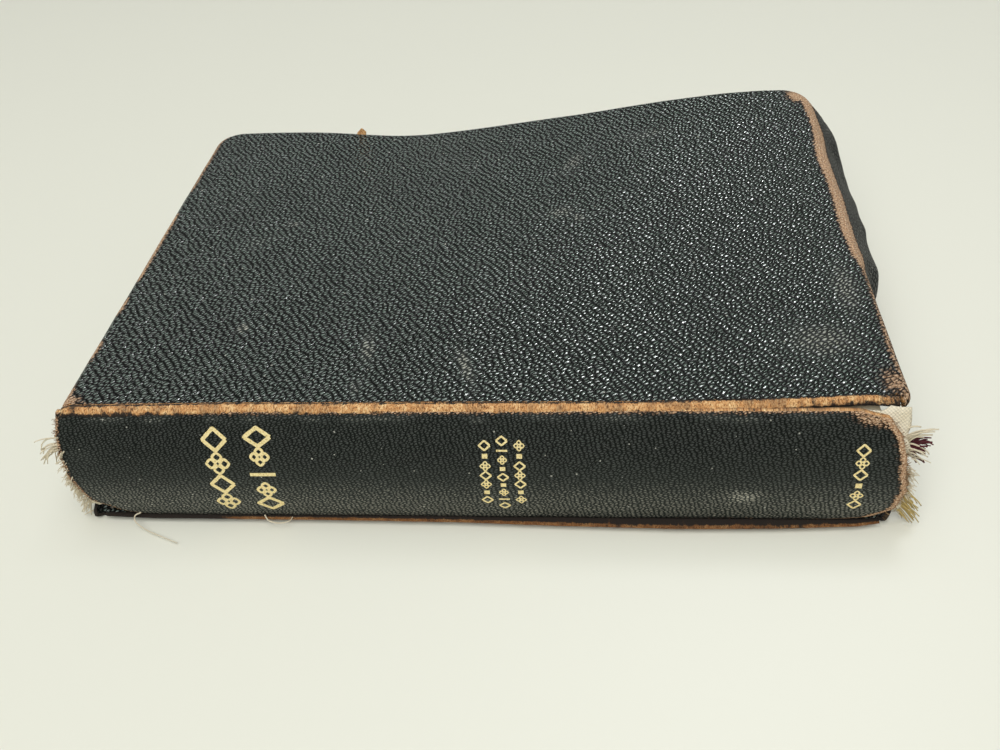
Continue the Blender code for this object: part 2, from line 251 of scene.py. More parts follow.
def morocco(name, polish, dark, light, grain, turn=38.0, relief=0.16, painted_relief_contrast=4.0, gloss=0.5):
    """Goatskin, vegetable-tanned, dyed black and boarded by hand, which raises close pebbles that catch
    the light one by one; the colour darkens the creases and lightens the crowns, painted shade and a
    painted highlight. Where "worn" nears 1 the dyed face has rubbed off and the tan fibre shows, first
    on the pebbles' tops; "scuff" greys the dye and paints the pebbles' tops pale: real dry rubbing that
    has left the dye, and low on the spine a painted reflection of the bright table."""
    made, tree, shader, lay = start(name)
    worn = add(tree, "Attribute", attribute_name="worn").outputs["Fac"]
    scuff_and_painted_reflection = add(tree, "Attribute", attribute_name="scuff_and_painted_reflection").outputs["Fac"]
    wander = add(tree, "TexNoise", {"Vector": lay, "Scale": 0.45, "Detail": 2}).outputs["Color"]
    bent = add(tree, "VectorMath", {0: lay, 1: wander}, operation="ADD")
    turned = add(
        tree,
        "Mapping",
        {"Vector": bent, "Rotation": (0, 0, math.radians(turn)), "Scale": (GRAIN_LENGTH, 1, 1)},
        vector_type="TEXTURE",
    )
    cells = add(
        tree,
        "TexVoronoi",
        {"Vector": turned, "Scale": 1 / grain, "Randomness": 0.72},
        voronoi_dimensions="2D",
    )
    borders = add(
        tree,
        "TexVoronoi",
        {"Vector": turned, "Scale": 1 / grain, "Randomness": 0.72},
        voronoi_dimensions="2D",
        feature="DISTANCE_TO_EDGE",
    )
    crease = add(
        tree,
        "MapRange",
        {"Value": borders, "From Min": 0.0, "From Max": 0.34},
        interpolation_type="SMOOTHSTEP",
    )
    crown = add(
        tree, "MapRange", {"Value": cells, "From Min": 0.0, "From Max": 0.8, "To Min": 1, "To Max": 0.3}
    )
    dome = add(tree, "Math", {0: crease, 1: crown}, operation="MULTIPLY")
    fine = add(tree, "TexNoise", {"Vector": lay, "Scale": 2.4, "Detail": 5, "Roughness": 0.72})
    broad = add(tree, "TexNoise", {"Vector": lay, "Scale": 0.035, "Detail": 3})
    tuft = add(tree, "TexNoise", {"Vector": lay, "Scale": 0.9, "Detail": 5, "Roughness": 0.7})
    # dyed face, with painted shade that darkens the creases between the pebbles and a painted highlight that
    # lightens their crowns
    face = add(tree, "Mix", {"Factor": broad, "A": linear(dark), "B": linear(light)}, data_type="RGBA")
    tops = add(tree, "Math", {0: dome, 1: 3.0}, operation="POWER")
    pale = add(tree, "MapRange", {"Value": tops, "To Min": 1 / painted_relief_contrast, "To Max": painted_relief_contrast})
    face = add(tree, "Mix", {"Factor": 1.0, "A": face, "B": pale}, data_type="RGBA", blend_type="MULTIPLY")
    # the dye greys where it has been handled, and low on the spine this greying is a painted reflection of
    # the bright table
    greying_and_painted_reflection = add(tree, "Math", {0: scuff_and_painted_reflection, 1: 0.2}, operation="MULTIPLY")
    face = add(tree, "Mix", {"Factor": greying_and_painted_reflection, "A": face, "B": linear("#6b716b")}, data_type="RGBA")
    # pale on the tops of the pebbles: dry rubbing, and low on the spine a painted reflection of the bright
    # table
    rubbing_and_painted_reflection = add(tree, "Math", {0: scuff_and_painted_reflection, 1: tuft}, operation="MULTIPLY")
    rubbing_and_painted_reflection = add(tree, "Math", {0: rubbing_and_painted_reflection, 1: dome}, operation="MULTIPLY")
    rubbing_and_painted_reflection = add(tree, "MapRange", {"Value": rubbing_and_painted_reflection, "From Min": 0.14, "From Max": 0.5})
    face = add(tree, "Mix", {"Factor": rubbing_and_painted_reflection, "A": face, "B": linear("#b3b1a2")}, data_type="RGBA")
    # dust specks, about one in each 6 mm square and a quarter millimetre wide
    specks = add(tree, "TexVoronoi", {"Vector": lay, "Scale": 1 / 6.5}, voronoi_dimensions="2D")
    chance = add(tree, "SeparateColor", {"Color": specks.outputs["Color"]}).outputs["Red"]
    girth = add(tree, "MapRange", {"Value": chance, "From Min": 0.45, "To Max": 0.042})
    near = add(tree, "Math", {0: specks, 1: girth}, operation="LESS_THAN")
    speck = add(tree, "Math", {0: near, 1: broad}, operation="MULTIPLY")
    face = add(tree, "Mix", {"Factor": speck, "A": face, "B": linear("#d8d8cc")}, data_type="RGBA")
    # bare fibre
    sway = add(tree, "MapRange", {"Value": tuft, "To Min": -0.55, "To Max": 0.55})
    tops = add(tree, "MapRange", {"Value": dome, "To Min": -0.12, "To Max": 0.12})
    level = add(tree, "Math", {0: worn, 1: sway}, operation="ADD")
    level = add(tree, "Math", {0: level, 1: tops}, operation="ADD")
    bare = add(tree, "MapRange", {"Value": level, "From Min": 0.46, "From Max": 0.6})
    stain = add(tree, "MapRange", {"Value": level, "From Min": 0.3, "From Max": 0.5})
    fibre = add(
        tree, "ValToRGB", {"Fac": fine}, stops=[(0.36, "#5b4636"), (0.66, "#e8d6ba"), (0.5, "#b48d6b")]
    )
    aged = add(tree, "Mix", {"Factor": stain, "A": face, "B": linear("#3d2c1f")}, data_type="RGBA")
    skin = add(tree, "Mix", {"Factor": bare, "A": aged, "B": fibre}, data_type="RGBA")
    shine = add(tree, "MapRange", {"Value": fine, "To Min": polish - 0.07, "To Max": polish + 0.1})
    dull = add(tree, "Math", {0: rubbing_and_painted_reflection, 1: stain}, operation="MAXIMUM")
    rough = add(tree, "Mix", {"Factor": dull, "A": shine, "B": 0.93}, data_type="FLOAT")
    open_face = add(tree, "MapRange", {"Value": dome, "From Max": 0.8, "To Min": 0.06, "To Max": gloss})
    pebbles = add(tree, "Bump", {"Height": dome, "Distance": relief * MM, "Strength": 1.0})
    nap = add(tree, "Bump", {"Height": fine, "Distance": 0.012 * MM, "Normal": pebbles})
    finished = {"Base Color": skin, "Roughness": rough, "Specular IOR Level": open_face, "Normal": nap}
    feed(tree, shader, finished)
    return made


def raw_leather(name, tint="#ffffff"):
    """The cut edge of vegetable-tanned goatskin: loose tan and brown fibre with no dye and no shine."""
    made, tree, shader, lay = start(name, 0.95)
    worn = add(tree, "Attribute", attribute_name="worn").outputs["Fac"]
    grain = add(tree, "TexNoise", {"Vector": lay, "Scale": 2.5, "Detail": 5, "Roughness": 0.7})
    fibre = add(
        tree, "ValToRGB", {"Fac": grain}, stops=[(0.36, "#5e402a"), (0.62, "#f6e2bd"), (0.48, "#dcb17f")]
    )
    slow = add(tree, "TexNoise", {"Vector": lay, "Scale": 0.3, "Detail": 3, "Roughness": 0.6})
    aged = add(
        tree, "ValToRGB", {"Fac": slow}, stops=[(0.38, "#a98f70"), (0.64, "#fff4dc"), (0.5, "#e0bb8c")]
    )
    fibre = add(
        tree, "Mix", {"Factor": 0.8, "A": fibre, "B": aged}, data_type="RGBA", blend_type="MULTIPLY"
    )
    fibre = add(
        tree, "Mix", {"Factor": 1.0, "A": fibre, "B": linear(tint)}, data_type="RGBA", blend_type="MULTIPLY"
    )
    ragged = add(tree, "TexNoise", {"Vector": lay, "Scale": 0.55, "Detail": 6, "Roughness": 0.8})
    level = add(tree, "MapRange", {"Value": ragged, "To Min": -1.1, "To Max": 1.1})
    level = add(tree, "Math", {0: level, 1: worn}, operation="ADD")
    show = add(tree, "MapRange", {"Value": level, "From Min": 0.3, "From Max": 0.55})
    # where worn is low the colour goes near black: the unrubbed face, and on the back joint's strip a
    # painted shadow of the gap under the spine
    mixed = add(tree, "Mix", {"Factor": show, "A": linear("#241c16"), "B": fibre}, data_type="RGBA")
    rise = add(tree, "Bump", {"Height": grain, "Distance": 0.25 * MM})
    feed(tree, shader, {"Base Color": mixed, "Normal": rise})
    return made


def gold_foil(name):
    """Gold leaf stamped hot into leather: a thin metal face that takes the leather's grain, rubbed pale; its
    pale cream colour is also a painted reflection of bright light on the foil.
    """
    made, tree, shader, lay = start(name, 0.5, Metallic=0.3)
    rubbed = add(tree, "TexNoise", {"Vector": lay, "Scale": 2.2, "Detail": 4, "Roughness": 0.7})
    tone = add(
        tree, "ValToRGB", {"Fac": rubbed}, stops=[(0.3, "#a3864a"), (0.62, "#fff0bd"), (0.44, "#f3dd9c")]
    )
    dent = add(tree, "Bump", {"Height": rubbed, "Distance": 0.06 * MM})
    feed(tree, shader, {"Base Color": tone, "Normal": dent})
    return made


def paper(name, light, dark, spots="#b08a58", roughness=0.88, solid=False):
    """Rag paper, sized and calendered, then aged: matt, faintly mottled, with foxing."""
    made, tree, shader, lay = start(name, roughness, solid)
    cloud = add(tree, "TexNoise", {"Vector": lay, "Scale": 0.04, "Detail": 4})
    fleck = add(tree, "TexNoise", {"Vector": lay, "Scale": 0.35, "Detail": 5, "Roughness": 0.6})
    tone = add(tree, "Mix", {"Factor": cloud, "A": linear(light), "B": linear(dark)}, data_type="RGBA")
    fox = add(tree, "MapRange", {"Value": fleck, "From Min": 0.66, "From Max": 0.8, "To Max": 0.5})
    aged = add(tree, "Mix", {"Factor": fox, "A": tone, "B": linear(spots)}, data_type="RGBA")
    feed(tree, shader, {"Base Color": aged})
    tooth = add(tree, "TexNoise", {"Vector": lay, "Scale": 5.0, "Detail": 3})
    rise = add(tree, "Bump", {"Height": tooth, "Distance": 0.02 * MM})
    feed(tree, shader, {"Normal": rise})
    return made, tree, shader, lay, aged


ROW_PITCH, TEXT_HALF = 2.4, 84.0  # mm between rows of print, and from the page's middle to its last row
TEXT_COLUMNS = ((14.0, 60.0), (64.0, 74.0), (78.0, 122.0))  # mm from the fold to each column's two sides


def printed_paper(name):
    """Thin opaque bible paper with two columns and a narrow middle one, drawn as plain grey bars in rows,
    so that it reads as a printed page and spells nothing."""
    made, tree, shader, lay, ground = paper(name, "#efe6cf", "#e2d4b4")
    parts = add(tree, "SeparateXYZ", {"Vector": lay})
    down, over = parts.outputs["X"], parts.outputs["Y"]
    rows = add(tree, "Math", {0: down, 1: 1 / ROW_PITCH}, operation="MULTIPLY")
    place = add(tree, "Math", {0: rows}, operation="FRACT")
    ink = add(tree, "Math", {0: place, 1: 0.42}, operation="LESS_THAN")
    row = add(tree, "Math", {0: rows}, operation="FLOOR")
    spot = add(tree, "CombineXYZ", {"X": row, "Y": over})
    words = add(tree, "TexNoise", {"Vector": spot, "Scale": 0.85, "Detail": 1}, noise_dimensions="2D")
    ink = add(
        tree,
        "Math",
        {0: ink, 1: add(tree, "Math", {0: words, 1: 0.44}, operation="GREATER_THAN")},
        operation="MULTIPLY",
    )
    inside = None
    for low, high in TEXT_COLUMNS:
        above = add(tree, "Math", {0: over, 1: low}, operation="GREATER_THAN")
        below = add(tree, "Math", {0: over, 1: high}, operation="LESS_THAN")
        column = add(tree, "Math", {0: above, 1: below}, operation="MULTIPLY")
        inside = column if inside is None else add(
            tree, "Math", {0: inside, 1: column}, operation="ADD"
        )
    size = add(tree, "Math", {0: down}, operation="ABSOLUTE")
    block = add(tree, "Math", {0: size, 1: TEXT_HALF}, operation="LESS_THAN")
    shown = add(tree, "Math", {0: ink, 1: inside}, operation="MULTIPLY")
    shown = add(tree, "Math", {0: shown, 1: block}, operation="MULTIPLY")
    shown = add(tree, "Math", {0: shown, 1: 0.62}, operation="MULTIPLY")
    page = add(tree, "Mix", {"Factor": shown, "A": ground, "B": linear("#3b372f")}, data_type="RGBA")
    feed(tree, shader, {"Base Color": page})
    return made


def gilt_edge(name):
    """Page edges stained red, then gilded and burnished: dull gold that has rubbed through to red and to
    bare paper in streaks along the leaves."""
    made, tree, shader, lay = start(name, 0.45, Metallic=0.35)
    stretched = add(tree, "Mapping", {"Vector": lay, "Scale": (0.12, 0.12, 3.0)})
    streak = add(tree, "TexNoise", {"Vector": stretched, "Scale": 1.0, "Detail": 6, "Roughness": 0.7})
    tone = add(
        tree, "ValToRGB", {"Fac": streak}, stops=[(0.33, "#7d3a26"), (0.62, "#cdb489"), (0.45, "#b0894a")]
    )
    rise = add(tree, "Bump", {"Height": streak, "Distance": 0.05 * MM})
    feed(tree, shader, {"Base Color": tone, "Normal": rise})
    return made


def woven(name, light, dark, pitch, roughness=0.95):
    """Plain-woven cotton or linen: threads a set pitch apart that cross over and under."""
    made, tree, shader, lay = start(name, roughness)
    turns = 2 * math.pi / pitch
    parts = add(tree, "SeparateXYZ", {"Vector": lay})
    waves = []
    for axis in ("X", "Y"):
        phase = add(tree, "Math", {0: parts.outputs[axis], 1: turns}, operation="MULTIPLY")
        waves.append(add(tree, "Math", {0: phase}, operation="SINE"))
    weave = add(tree, "Math", {0: waves[0], 1: waves[1]}, operation="MULTIPLY")
    height = add(tree, "MapRange", {"Value": weave, "From Min": -1})
    soil = add(tree, "TexNoise", {"Vector": lay, "Scale": 0.3, "Detail": 4})
    tone = add(tree, "Mix", {"Factor": soil, "A": linear(light), "B": linear(dark)}, data_type="RGBA")
    shade = add(tree, "MapRange", {"Value": height, "To Min": 0.7, "To Max": 1.0})
    cloth = add(
        tree, "Mix", {"Factor": 1.0, "A": tone, "B": shade}, data_type="RGBA", blend_type="MULTIPLY"
    )
    rise = add(tree, "Bump", {"Height": height, "Distance": 0.12 * MM})
    feed(tree, shader, {"Base Color": cloth, "Normal": rise})
    return made


def spun_thread(name, light, dark):
    """Twisted linen or cotton yarn: matt, with a slant to its plies."""
    made, tree, shader, lay = start(name, 0.9)
    slant = add(tree, "Mapping", {"Vector": lay, "Rotation": (0, 0, 0.6)})
    ply = add(tree, "TexNoise", {"Vector": slant, "Scale": 2.0, "Detail": 3})
    tone = add(tree, "Mix", {"Factor": ply, "A": linear(light), "B": linear(dark)}, data_type="RGBA")
    rise = add(tree, "Bump", {"Height": ply, "Distance": 0.05 * MM})
    feed(tree, shader, {"Base Color": tone, "Normal": rise})
    return made


BLACK_GOATSKIN = morocco(
    "black_boarded_goatskin", 0.22, "#171e1a", "#262d29", grain=0.86, relief=0.25, painted_relief_contrast=12.0, gloss=0.95
)
SPINE_GOATSKIN = morocco(
    "black_spine_goatskin", 0.36, "#191f1b", "#262c28", grain=0.56, turn=14.0, relief=0.1, painted_relief_contrast=2.6
)
TURNED_GOATSKIN = morocco(
    "black_turned_goatskin", 0.45, "#101211", "#1b1d1c", grain=0.95, turn=80.0, relief=0.16
)
BARE_FIBRE = raw_leather("raw_goatskin_edge")
# the same fibre in a darker, greyer tint, for the back joint's strip
GREYED_FIBRE = raw_leather("darker_greyer_goatskin_edge", "#a89a8b")
GOLD = gold_foil("hot_stamped_gold_leaf")
PRINTED = printed_paper("printed_bible_paper")
EDGES = gilt_edge("red_under_gold_page_edges")
ENDPAPER = paper("aged_rag_endpaper", "#e4d8bd", "#cdb98f")[0]
PASTED = paper("pasted_rag_endpaper", "#dccfb2", "#c4af86", solid=True)[0]
BOARD_CARD = paper("pressed_card_board", "#a38c66", "#8a7350", "#5f4c34", solid=True)[0]
KRAFT = paper("spine_kraft_paper", "#b08a5c", "#94703f", "#6b4d2a")[0]
MULL = woven("starched_cotton_mull", "#fff7e4", "#e6d8b8", 0.9)
LINEN = spun_thread("spun_linen_thread", "#efe8d8", "#c9bd9f")
CREAM_COTTON = spun_thread("cream_cotton_fray", "#f0e9d6", "#bfae8a")
MAROON_SILK = spun_thread("maroon_band_silk", "#6a2630", "#3a1018")
OLD_GOLD_YARN = spun_thread("olive_gold_yarn", "#dfc88a", "#97803f")
LEATHER_FRAY = spun_thread("goatskin_fibre_fray", "#b08c66", "#5c422c")


# ---------------------------------------------------------------- covers
# Where the worn edges of the covers run along their joints: Y at each X, in millimetres
BACK_EDGE = (
    (-103, -72.0), (-98, -72.9), (-86, -73.5), (-45, -73.6), (-5, -74.0), (20, -74.9),
    (50, -75.6), (75, -75.2), (94, -74.2), (100, -73.0), (103, -72.0),
)
FRONT_EDGE = (
    (-104, -65.2), (-100, -63.8), (-60, -63.2), (40, -63.1), (54, -62.6),
    (77, -62.0), (93, -61.0), (99, -61.5), (104, -63.0),
)
BACK_LINE, FRONT_LINE = -72.9 * MM, -63.2 * MM  # the Y those edges would have if they were straight


def follow(table, value):
    """A value in metres read off a table in millimetres."""
    places, values = zip(*table)
    return np.interp(np.asarray(value) / MM, places, values) * MM


class Outline:
    """A cover's plan: a rectangle with round corners. The joint's side stays on the joint line."""

    def __init__(self, joint_y, inset, setback=0.0, joint_radii=(1.8 * MM, 4.2 * MM), near=None):
        self.half = HALF_LENGTH - inset
        self.low = joint_y + setback
        self.high = joint_y + COVER_WIDTH - inset
        self.head_radius, self.tail_radius = joint_radii
        self.fore_radius = max(FORE_CORNER - inset, 2.0 * MM)
        self.near = near

    def rounded(self, x, y):
        """Points of the plain rectangle moved so that its corners are round, and which way is outward."""
        upper = y > (self.low + self.high) / 2
        radius = np.where(upper, self.fore_radius, np.where(x > 0, self.tail_radius, self.head_radius))
        side = np.where(upper, 1.0, -1.0)
        centre = np.where(upper, self.high - radius, self.low + radius)
        a = (np.abs(x) - self.half + radius) / radius
        b = side * (y - centre) / radius
        corner = (a > 0) & (b > 0)
        ca, cb = np.clip(a, 0, 1), np.clip(b, 0, 1)
        ra, rb = ca * np.sqrt(1 - cb * cb / 2), cb * np.sqrt(1 - ca * ca / 2)
        sign = np.sign(x)
        px = np.where(corner, sign * (self.half - radius + ra * radius), x)
        py = np.where(corner, centre + side * rb * radius, y)
        if self.near:
            py = py + (follow(self.near, px) - self.low) * (1 - smooth((py - self.low) / (9 * MM)))
        flat_x = np.where(ca >= cb, sign, 0.0)
        flat_y = np.where(ca >= cb, 0.0, side)
        away = np.stack([np.where(corner, sign * ra, flat_x), np.where(corner, side * rb, flat_y)], -1)
        return px, py, away / (np.linalg.norm(away, axis=-1, keepdims=True) + 1e-12)

    def grid(self, size):
        """The plan filled with points about size apart: X, Y and outward directions, row by row."""
        x = np.concatenate([
            steps(-self.half, self.fore_radius - self.half, size / 1.5)[:-1],
            steps(self.fore_radius - self.half, self.half - self.fore_radius, size),
            steps(self.half - self.fore_radius, self.half, size / 1.5)[1:],
        ])
        y = np.concatenate([
            steps(self.low, self.low + 3 * MM, size / 1.5)[:-1],
            steps(self.low + 3 * MM, self.high - self.fore_radius, size),
            steps(self.high - self.fore_radius, self.high, size / 1.5)[1:],
        ])
        gx, gy = np.meshgrid(x, y)
        return self.rounded(gx, gy)


def nearest_edge(outline, x, y):
    """How far inside the plan a point is from its head, tail and fore-edge sides."""
    return x + outline.half, outline.half - x, outline.high - y


FLAP_RINGS = 20  # rows of faces round a turned flap
OUTER_RINGS = 5  # those of them that keep the cover's own grain


def turned_skin(name, outline, height, side, flap, wear, body, node):
    """Cover leather: a plate whose head, tail and fore-edges roll over into flaps. flap gives, for each
    outward direction and Y, the turned length and the angle below level that the flap ends at."""
    gx, gy, away = outline.grid(0.9 * MM)
    rows, columns = gx.shape
    index = np.arange(rows * columns).reshape(rows, columns)
    chain = np.concatenate([index[:-1, 0], index[-1], index[-2::-1, -1]])
    cx, cy, out = gx.ravel()[chain], gy.ravel()[chain], away.reshape(-1, 2)[chain]
    length, end_angle = flap(cx, cy, out)
    plate_z = height(gx, gy)
    rings, count = FLAP_RINGS, len(chain)
    reach, drop = np.zeros(count), np.zeros(count)
    points = [np.stack([gx.ravel(), gy.ravel(), plate_z.ravel()], -1)]
    run = [-np.minimum.reduce(nearest_edge(outline, gx, gy)).ravel()]
    head, tail, fore = nearest_edge(outline, gx, gy)
    is_tail = [((tail < fore) & (gx > 0)).ravel().astype(float)]
    faces = [grid_faces(rows, columns)]
    previous = chain
    base_z = plate_z.ravel()[chain]
    for ring in range(1, rings + 1):
        arc = length * (ring - 0.5) / rings
        angle = np.minimum(arc / ROLL_RADIUS, end_angle)
        reach = reach + np.cos(angle) * length / rings
        drop = drop + np.sin(angle) * length / rings
        wobble = 0.35 * MM * ripple(cx + cy, arc * 3, 7 * MM, 5) * (ring / rings)
        far = reach + wobble
        points.append(np.stack([cx + out[:, 0] * far, cy + out[:, 1] * far, base_z - side * drop], -1))
        run.append(length * ring / rings)
        is_tail.append(np.clip(out[:, 0], 0, 1))
        current = rows * columns + (ring - 1) * count + np.arange(count)
        faces.append(np.stack([previous[:-1], previous[1:], current[1:], current[:-1]], -1))
        previous = current
    points, run, is_tail = np.concatenate(points), np.concatenate(run), np.concatenate(is_tail)
    slots = np.concatenate([np.full(len(part), 2 * (i > OUTER_RINGS)) for i, part in enumerate(faces)])
    faces = np.concatenate(faces)
    flat = np.stack([points[:, 0], points[:, 1], np.zeros(len(points))], -1)
    turned = np.maximum(run, 0)[:, None]
    out_all = np.concatenate([away.reshape(-1, 2), np.tile(out, (rings, 1))])
    plate_xy, rim_xy = np.stack([gx.ravel(), gy.ravel()], -1), np.stack([cx, cy], -1)
    start_xy = np.concatenate([plate_xy, np.tile(rim_xy, (rings, 1))])
    flat[:, :2] = start_xy + out_all * turned
    worn, scuff_and_painted_reflection = wear(start_xy[:, 0], start_xy[:, 1], run, is_tail, out_all)
    if side < 0:
        faces = faces[:, ::-1]
    made = new_mesh(
        name,
        points,
        faces,
        [BLACK_GOATSKIN, BARE_FIBRE, TURNED_GOATSKIN, BARE_FIBRE],
        {"lay": flat / MM, "worn": worn, "scuff_and_painted_reflection": scuff_and_painted_reflection},
        slots,
    )
    thick = made.modifiers.new("skin", "SOLIDIFY")
    thick.thickness, thick.offset, thick.use_even_offset, thick.material_offset_rim = LEATHER, -1, True, 1
    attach(made, body)
    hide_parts(node)
    return made


FLARE_FROM, FLARE_FULL = -28 * MM, -3 * MM  # Y where the tail flap starts to stand out, and where it has
FLAP_LENGTH = 14.4 * MM


def front_flap(x, y, out):
    """The front flaps lean in towards the pages, but the tail's stands out beyond the spine's third."""
    full = 0.22 + 0.78 * smooth((y - FRONT_JOINT.y) / (16 * MM))
    flare = smooth((y - FLARE_FROM) / (FLARE_FULL - FLARE_FROM)) * np.clip(out[:, 0], 0, 1) ** 2
    lump = 1 + 0.06 * ripple(x, y, 9 * MM, 3) * flare
    lean = np.radians(97) + 0.03 * ripple(x, y, 25 * MM, 4)
    stands = np.radians(47) + 0.12 * ripple(y, x, 14 * MM, 8)
    return FLAP_LENGTH * full * lump * (1 - 0.12 * flare), lean * (1 - flare) + stands * flare


def back_flap(x, y, out):
    full = 0.2 + 0.8 * smooth((y - BACK_JOINT.y) / (16 * MM))
    return FLAP_LENGTH * 0.93 * full, np.full(len(x), np.radians(96)) + 0.03 * ripple(x, y, 25 * MM, 6)


def spot(x, y, centre, radii, turn=0.0):
    """1 at the middle of an oval patch, fading to its rim; centre and radii in millimetres."""
    c, s = math.cos(math.radians(turn)), math.sin(math.radians(turn))
    dx, dy = x / MM - centre[0], y / MM - centre[1]
    return np.exp(-(((dx * c + dy * s) / radii[0]) ** 2 + ((dy * c - dx * s) / radii[1]) ** 2))


# Patches on the front cover in millimetres: middle, radii, turn in degrees and strength
SCUFFS = (
    ((-63.9, -34.3), (1.6, 2.0), 0, 1.10),
    ((-28.2, -43.0), (2.0, 6.5), 8, 0.77),
    ((-29.0, -58.0), (1.8, 3.0), 0, 0.59),
    ((-2.2, -50.0), (1.7, 7.5), 18, 0.85),
    ((21.0, 18.2), (4.5, 3.0), 20, 0.64),
    ((24.3, 46.0), (3.0, 7.0), -30, 0.55),
    ((26.5, 14.5), (2.2, 2.2), 0, 0.68),
    ((49.0, 58.0), (9.0, 3.5), 10, 0.38),
    ((-62.0, 17.0), (2.4, 1.6), 0, 0.68),
    ((-70.0, 7.0), (7.0, 3.0), 30, 0.34),
    ((86.0, -42.0), (9.0, 7.0), 0, 0.68),
    ((96.0, -22.0), (4.0, 12.0), 0, 0.64),
)
# The same without a turn
BARE_CORNERS = (
    ((100.5, -57), (5.0, 7), 0.62),
    ((-101.5, -62.5), (5.0, 3.0), 0.72),
    ((99.5, 74.5), (4.5, 5.5), 0.95),
)


def front_wear(x, y, run, is_tail, out):
    """Rubbing on the front cover: the tail fold is bare along its length, the head fold in places, and
    the corners by the joint in patches."""
    far = smooth((y + 16 * MM) / (10 * MM))
    crest = 1.5 * MM + 0.9 * MM * ripple(y, x * 0, 17 * MM, 12)
    width = (1.55 + 0.55 * far) * MM
    band = bump_at(run, crest, width) ** 0.7 * (0.62 + 0.55 * far)
    worn = band * smooth((is_tail - 0.3) / 0.4)
    patchy = 0.75 * smooth(0.5 + 1.2 * ripple(y, x * 0, 9 * MM, 21))
    head_fold = bump_at(run, 1.4 * MM, 1.7 * MM) * smooth((-out[:, 0] - 0.5) / 0.3)
    patchy = np.maximum(patchy, 0.68 * smooth((y - 34 * MM) / (6 * MM)))
    worn = np.maximum(worn, head_fold * patchy * np.where(x < 0, 1, 0))
    fore_fold = bump_at(run, 2.8 * MM, 1.4 * MM) * smooth((out[:, 1] - 0.5) / 0.3)
    worn = np.maximum(worn, 0.55 * fore_fold * smooth(0.3 + ripple(x, y * 0, 6 * MM, 22)))
    for place, size, strength in BARE_CORNERS:
        worn = np.maximum(worn, strength * spot(x, y, place, size))
    edge = bump_at(y, FRONT_JOINT.y + 1.0 * MM, 0.7 * MM) * (run < 0)
    worn = np.maximum(worn, 0.55 * edge)
    scuff_and_painted_reflection = sum(strength * spot(x, y, place, size, turn) for place, size, turn, strength in SCUFFS)
    return worn, np.clip(scuff_and_painted_reflection + 0.1, 0, 1.2)


def back_wear(x, y, run, is_tail, out):
    fold = bump_at(run, 2.4 * MM, 1.6 * MM) * smooth(0.4 + ripple(x, y, 11 * MM, 31))
    return 0.62 * fold, np.full(len(x), 0.12)


def front_face(x, y):
    """The front cover's outer face with the slow buckles of limp leather; they fade out at the joint."""
    buckle = 0.16 * MM * ripple(x, y, 26 * MM, 1) + 0.05 * MM * ripple(x, y, 8 * MM, 2)
    return front_height(x, y) + buckle * smooth((y - FRONT_JOINT.y) / (12 * MM))


front_plan = Outline(FRONT_JOINT.y, ROLL_RADIUS, 1.1 * MM, near=FRONT_EDGE)
back_plan = Outline(BACK_JOINT.y, ROLL_RADIUS)


def back_face(x, y):
    return 0.0 * x


turned_skin(
    "front_cover_goatskin",
    front_plan,
    front_face,
    1,
    front_flap,
    front_wear,
    "front_cover",
    "front_cover_leather",
)
turned_skin(
    "back_cover_goatskin",
    back_plan,
    back_face,
    -1,
    back_flap,
    back_wear,
    "back_cover",
    "back_cover_leather",
)


def make_torn_tab():
    """A scrap of the fore-edge fold that has torn loose and stands up."""
    gx, t = np.meshgrid(np.linspace(-53.4, -50.2, 9) * MM, np.linspace(0, 1, 8))
    point = np.abs(gx + 51.6 * MM) / MM
    rise = (2.6 - 1.1 * point) * MM * t
    y = front_plan.high + 0.6 * MM + 0.9 * MM * t + 0.25 * MM * ripple(gx, t * 3 * MM, 1.5 * MM, 33)
    z = front_height(gx, y) - 0.5 * MM + np.maximum(rise, 0.0)
    outer = np.stack([gx, y, z], -1)
    inner = outer + np.array([0, 0.45, -0.1]) * MM
    lay = np.stack([gx, t * 3 * MM, 0 * gx], -1) / MM
    made = shell("torn_fore_edge_tab", outer, inner, [BARE_FIBRE], {"lay": lay, "worn": 0.8 + 0 * gx})
    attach(made, "front_cover")


make_torn_tab()


# ---------------------------------------------------------------- spine
# Where the worn ends of the spine leather stop: X at each height, in millimetres
LEATHER_HEAD = (
    (1.5, -88), (3.0, -93), (7.4, -100.6), (14.2, -103.6), (20.3, -104.6), (26.8, -104.8), (32.3, -103.4),
)
LEATHER_TAIL = (
    (1.5, 84), (2.6, 96), (6.2, 102), (12.2, 103.4), (20.7, 102.3), (26.6, 100.4), (30.9, 97.5), (32.3, 91),
)


def spine_out(x, z):
    """Y of the worn spine leather's face: the round, a soft roll along its upper edge, and slow dents."""
    roll = 0.35 * MM * bump_at(z, THICK - 2.6 * MM, 1.6 * MM)
    return spine_face(z) - roll + 0.1 * MM * ripple(x, z, 15 * MM, 41) + 0.04 * MM * ripple(x, z, 5 * MM, 42)


def bend_with_spine(piece):
    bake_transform(piece)


def spine_strip(x_low, x_high, z_low, z_high, depth, thickness, size):
    """Outer and inner grids of a strip that lines the spine; the X ends may be functions of height."""
    z = steps(z_low, z_high, size)
    share = np.linspace(0, 1, len(steps(-HALF_LENGTH, HALF_LENGTH, size)))
    low, high = x_low(z)[:, None], x_high(z)[:, None]
    gx = low + (high - low) * share
    gz = np.repeat(z[:, None], len(share), axis=1)
    y = depth(gx, gz)
    outer = np.stack([gx, y, gz], -1)
    inner = np.stack([gx, y + thickness, gz], -1)
    return outer, inner


def lay_of(grid):
    """Flat coordinates of a spine strip: X, and the length round the spine."""
    step = np.linalg.norm(np.diff(grid[:, :, 1:], axis=0, prepend=grid[:1, :, 1:]), axis=-1)
    return np.stack([grid[..., 0], np.cumsum(step, axis=0), 0 * grid[..., 0]], -1) / MM


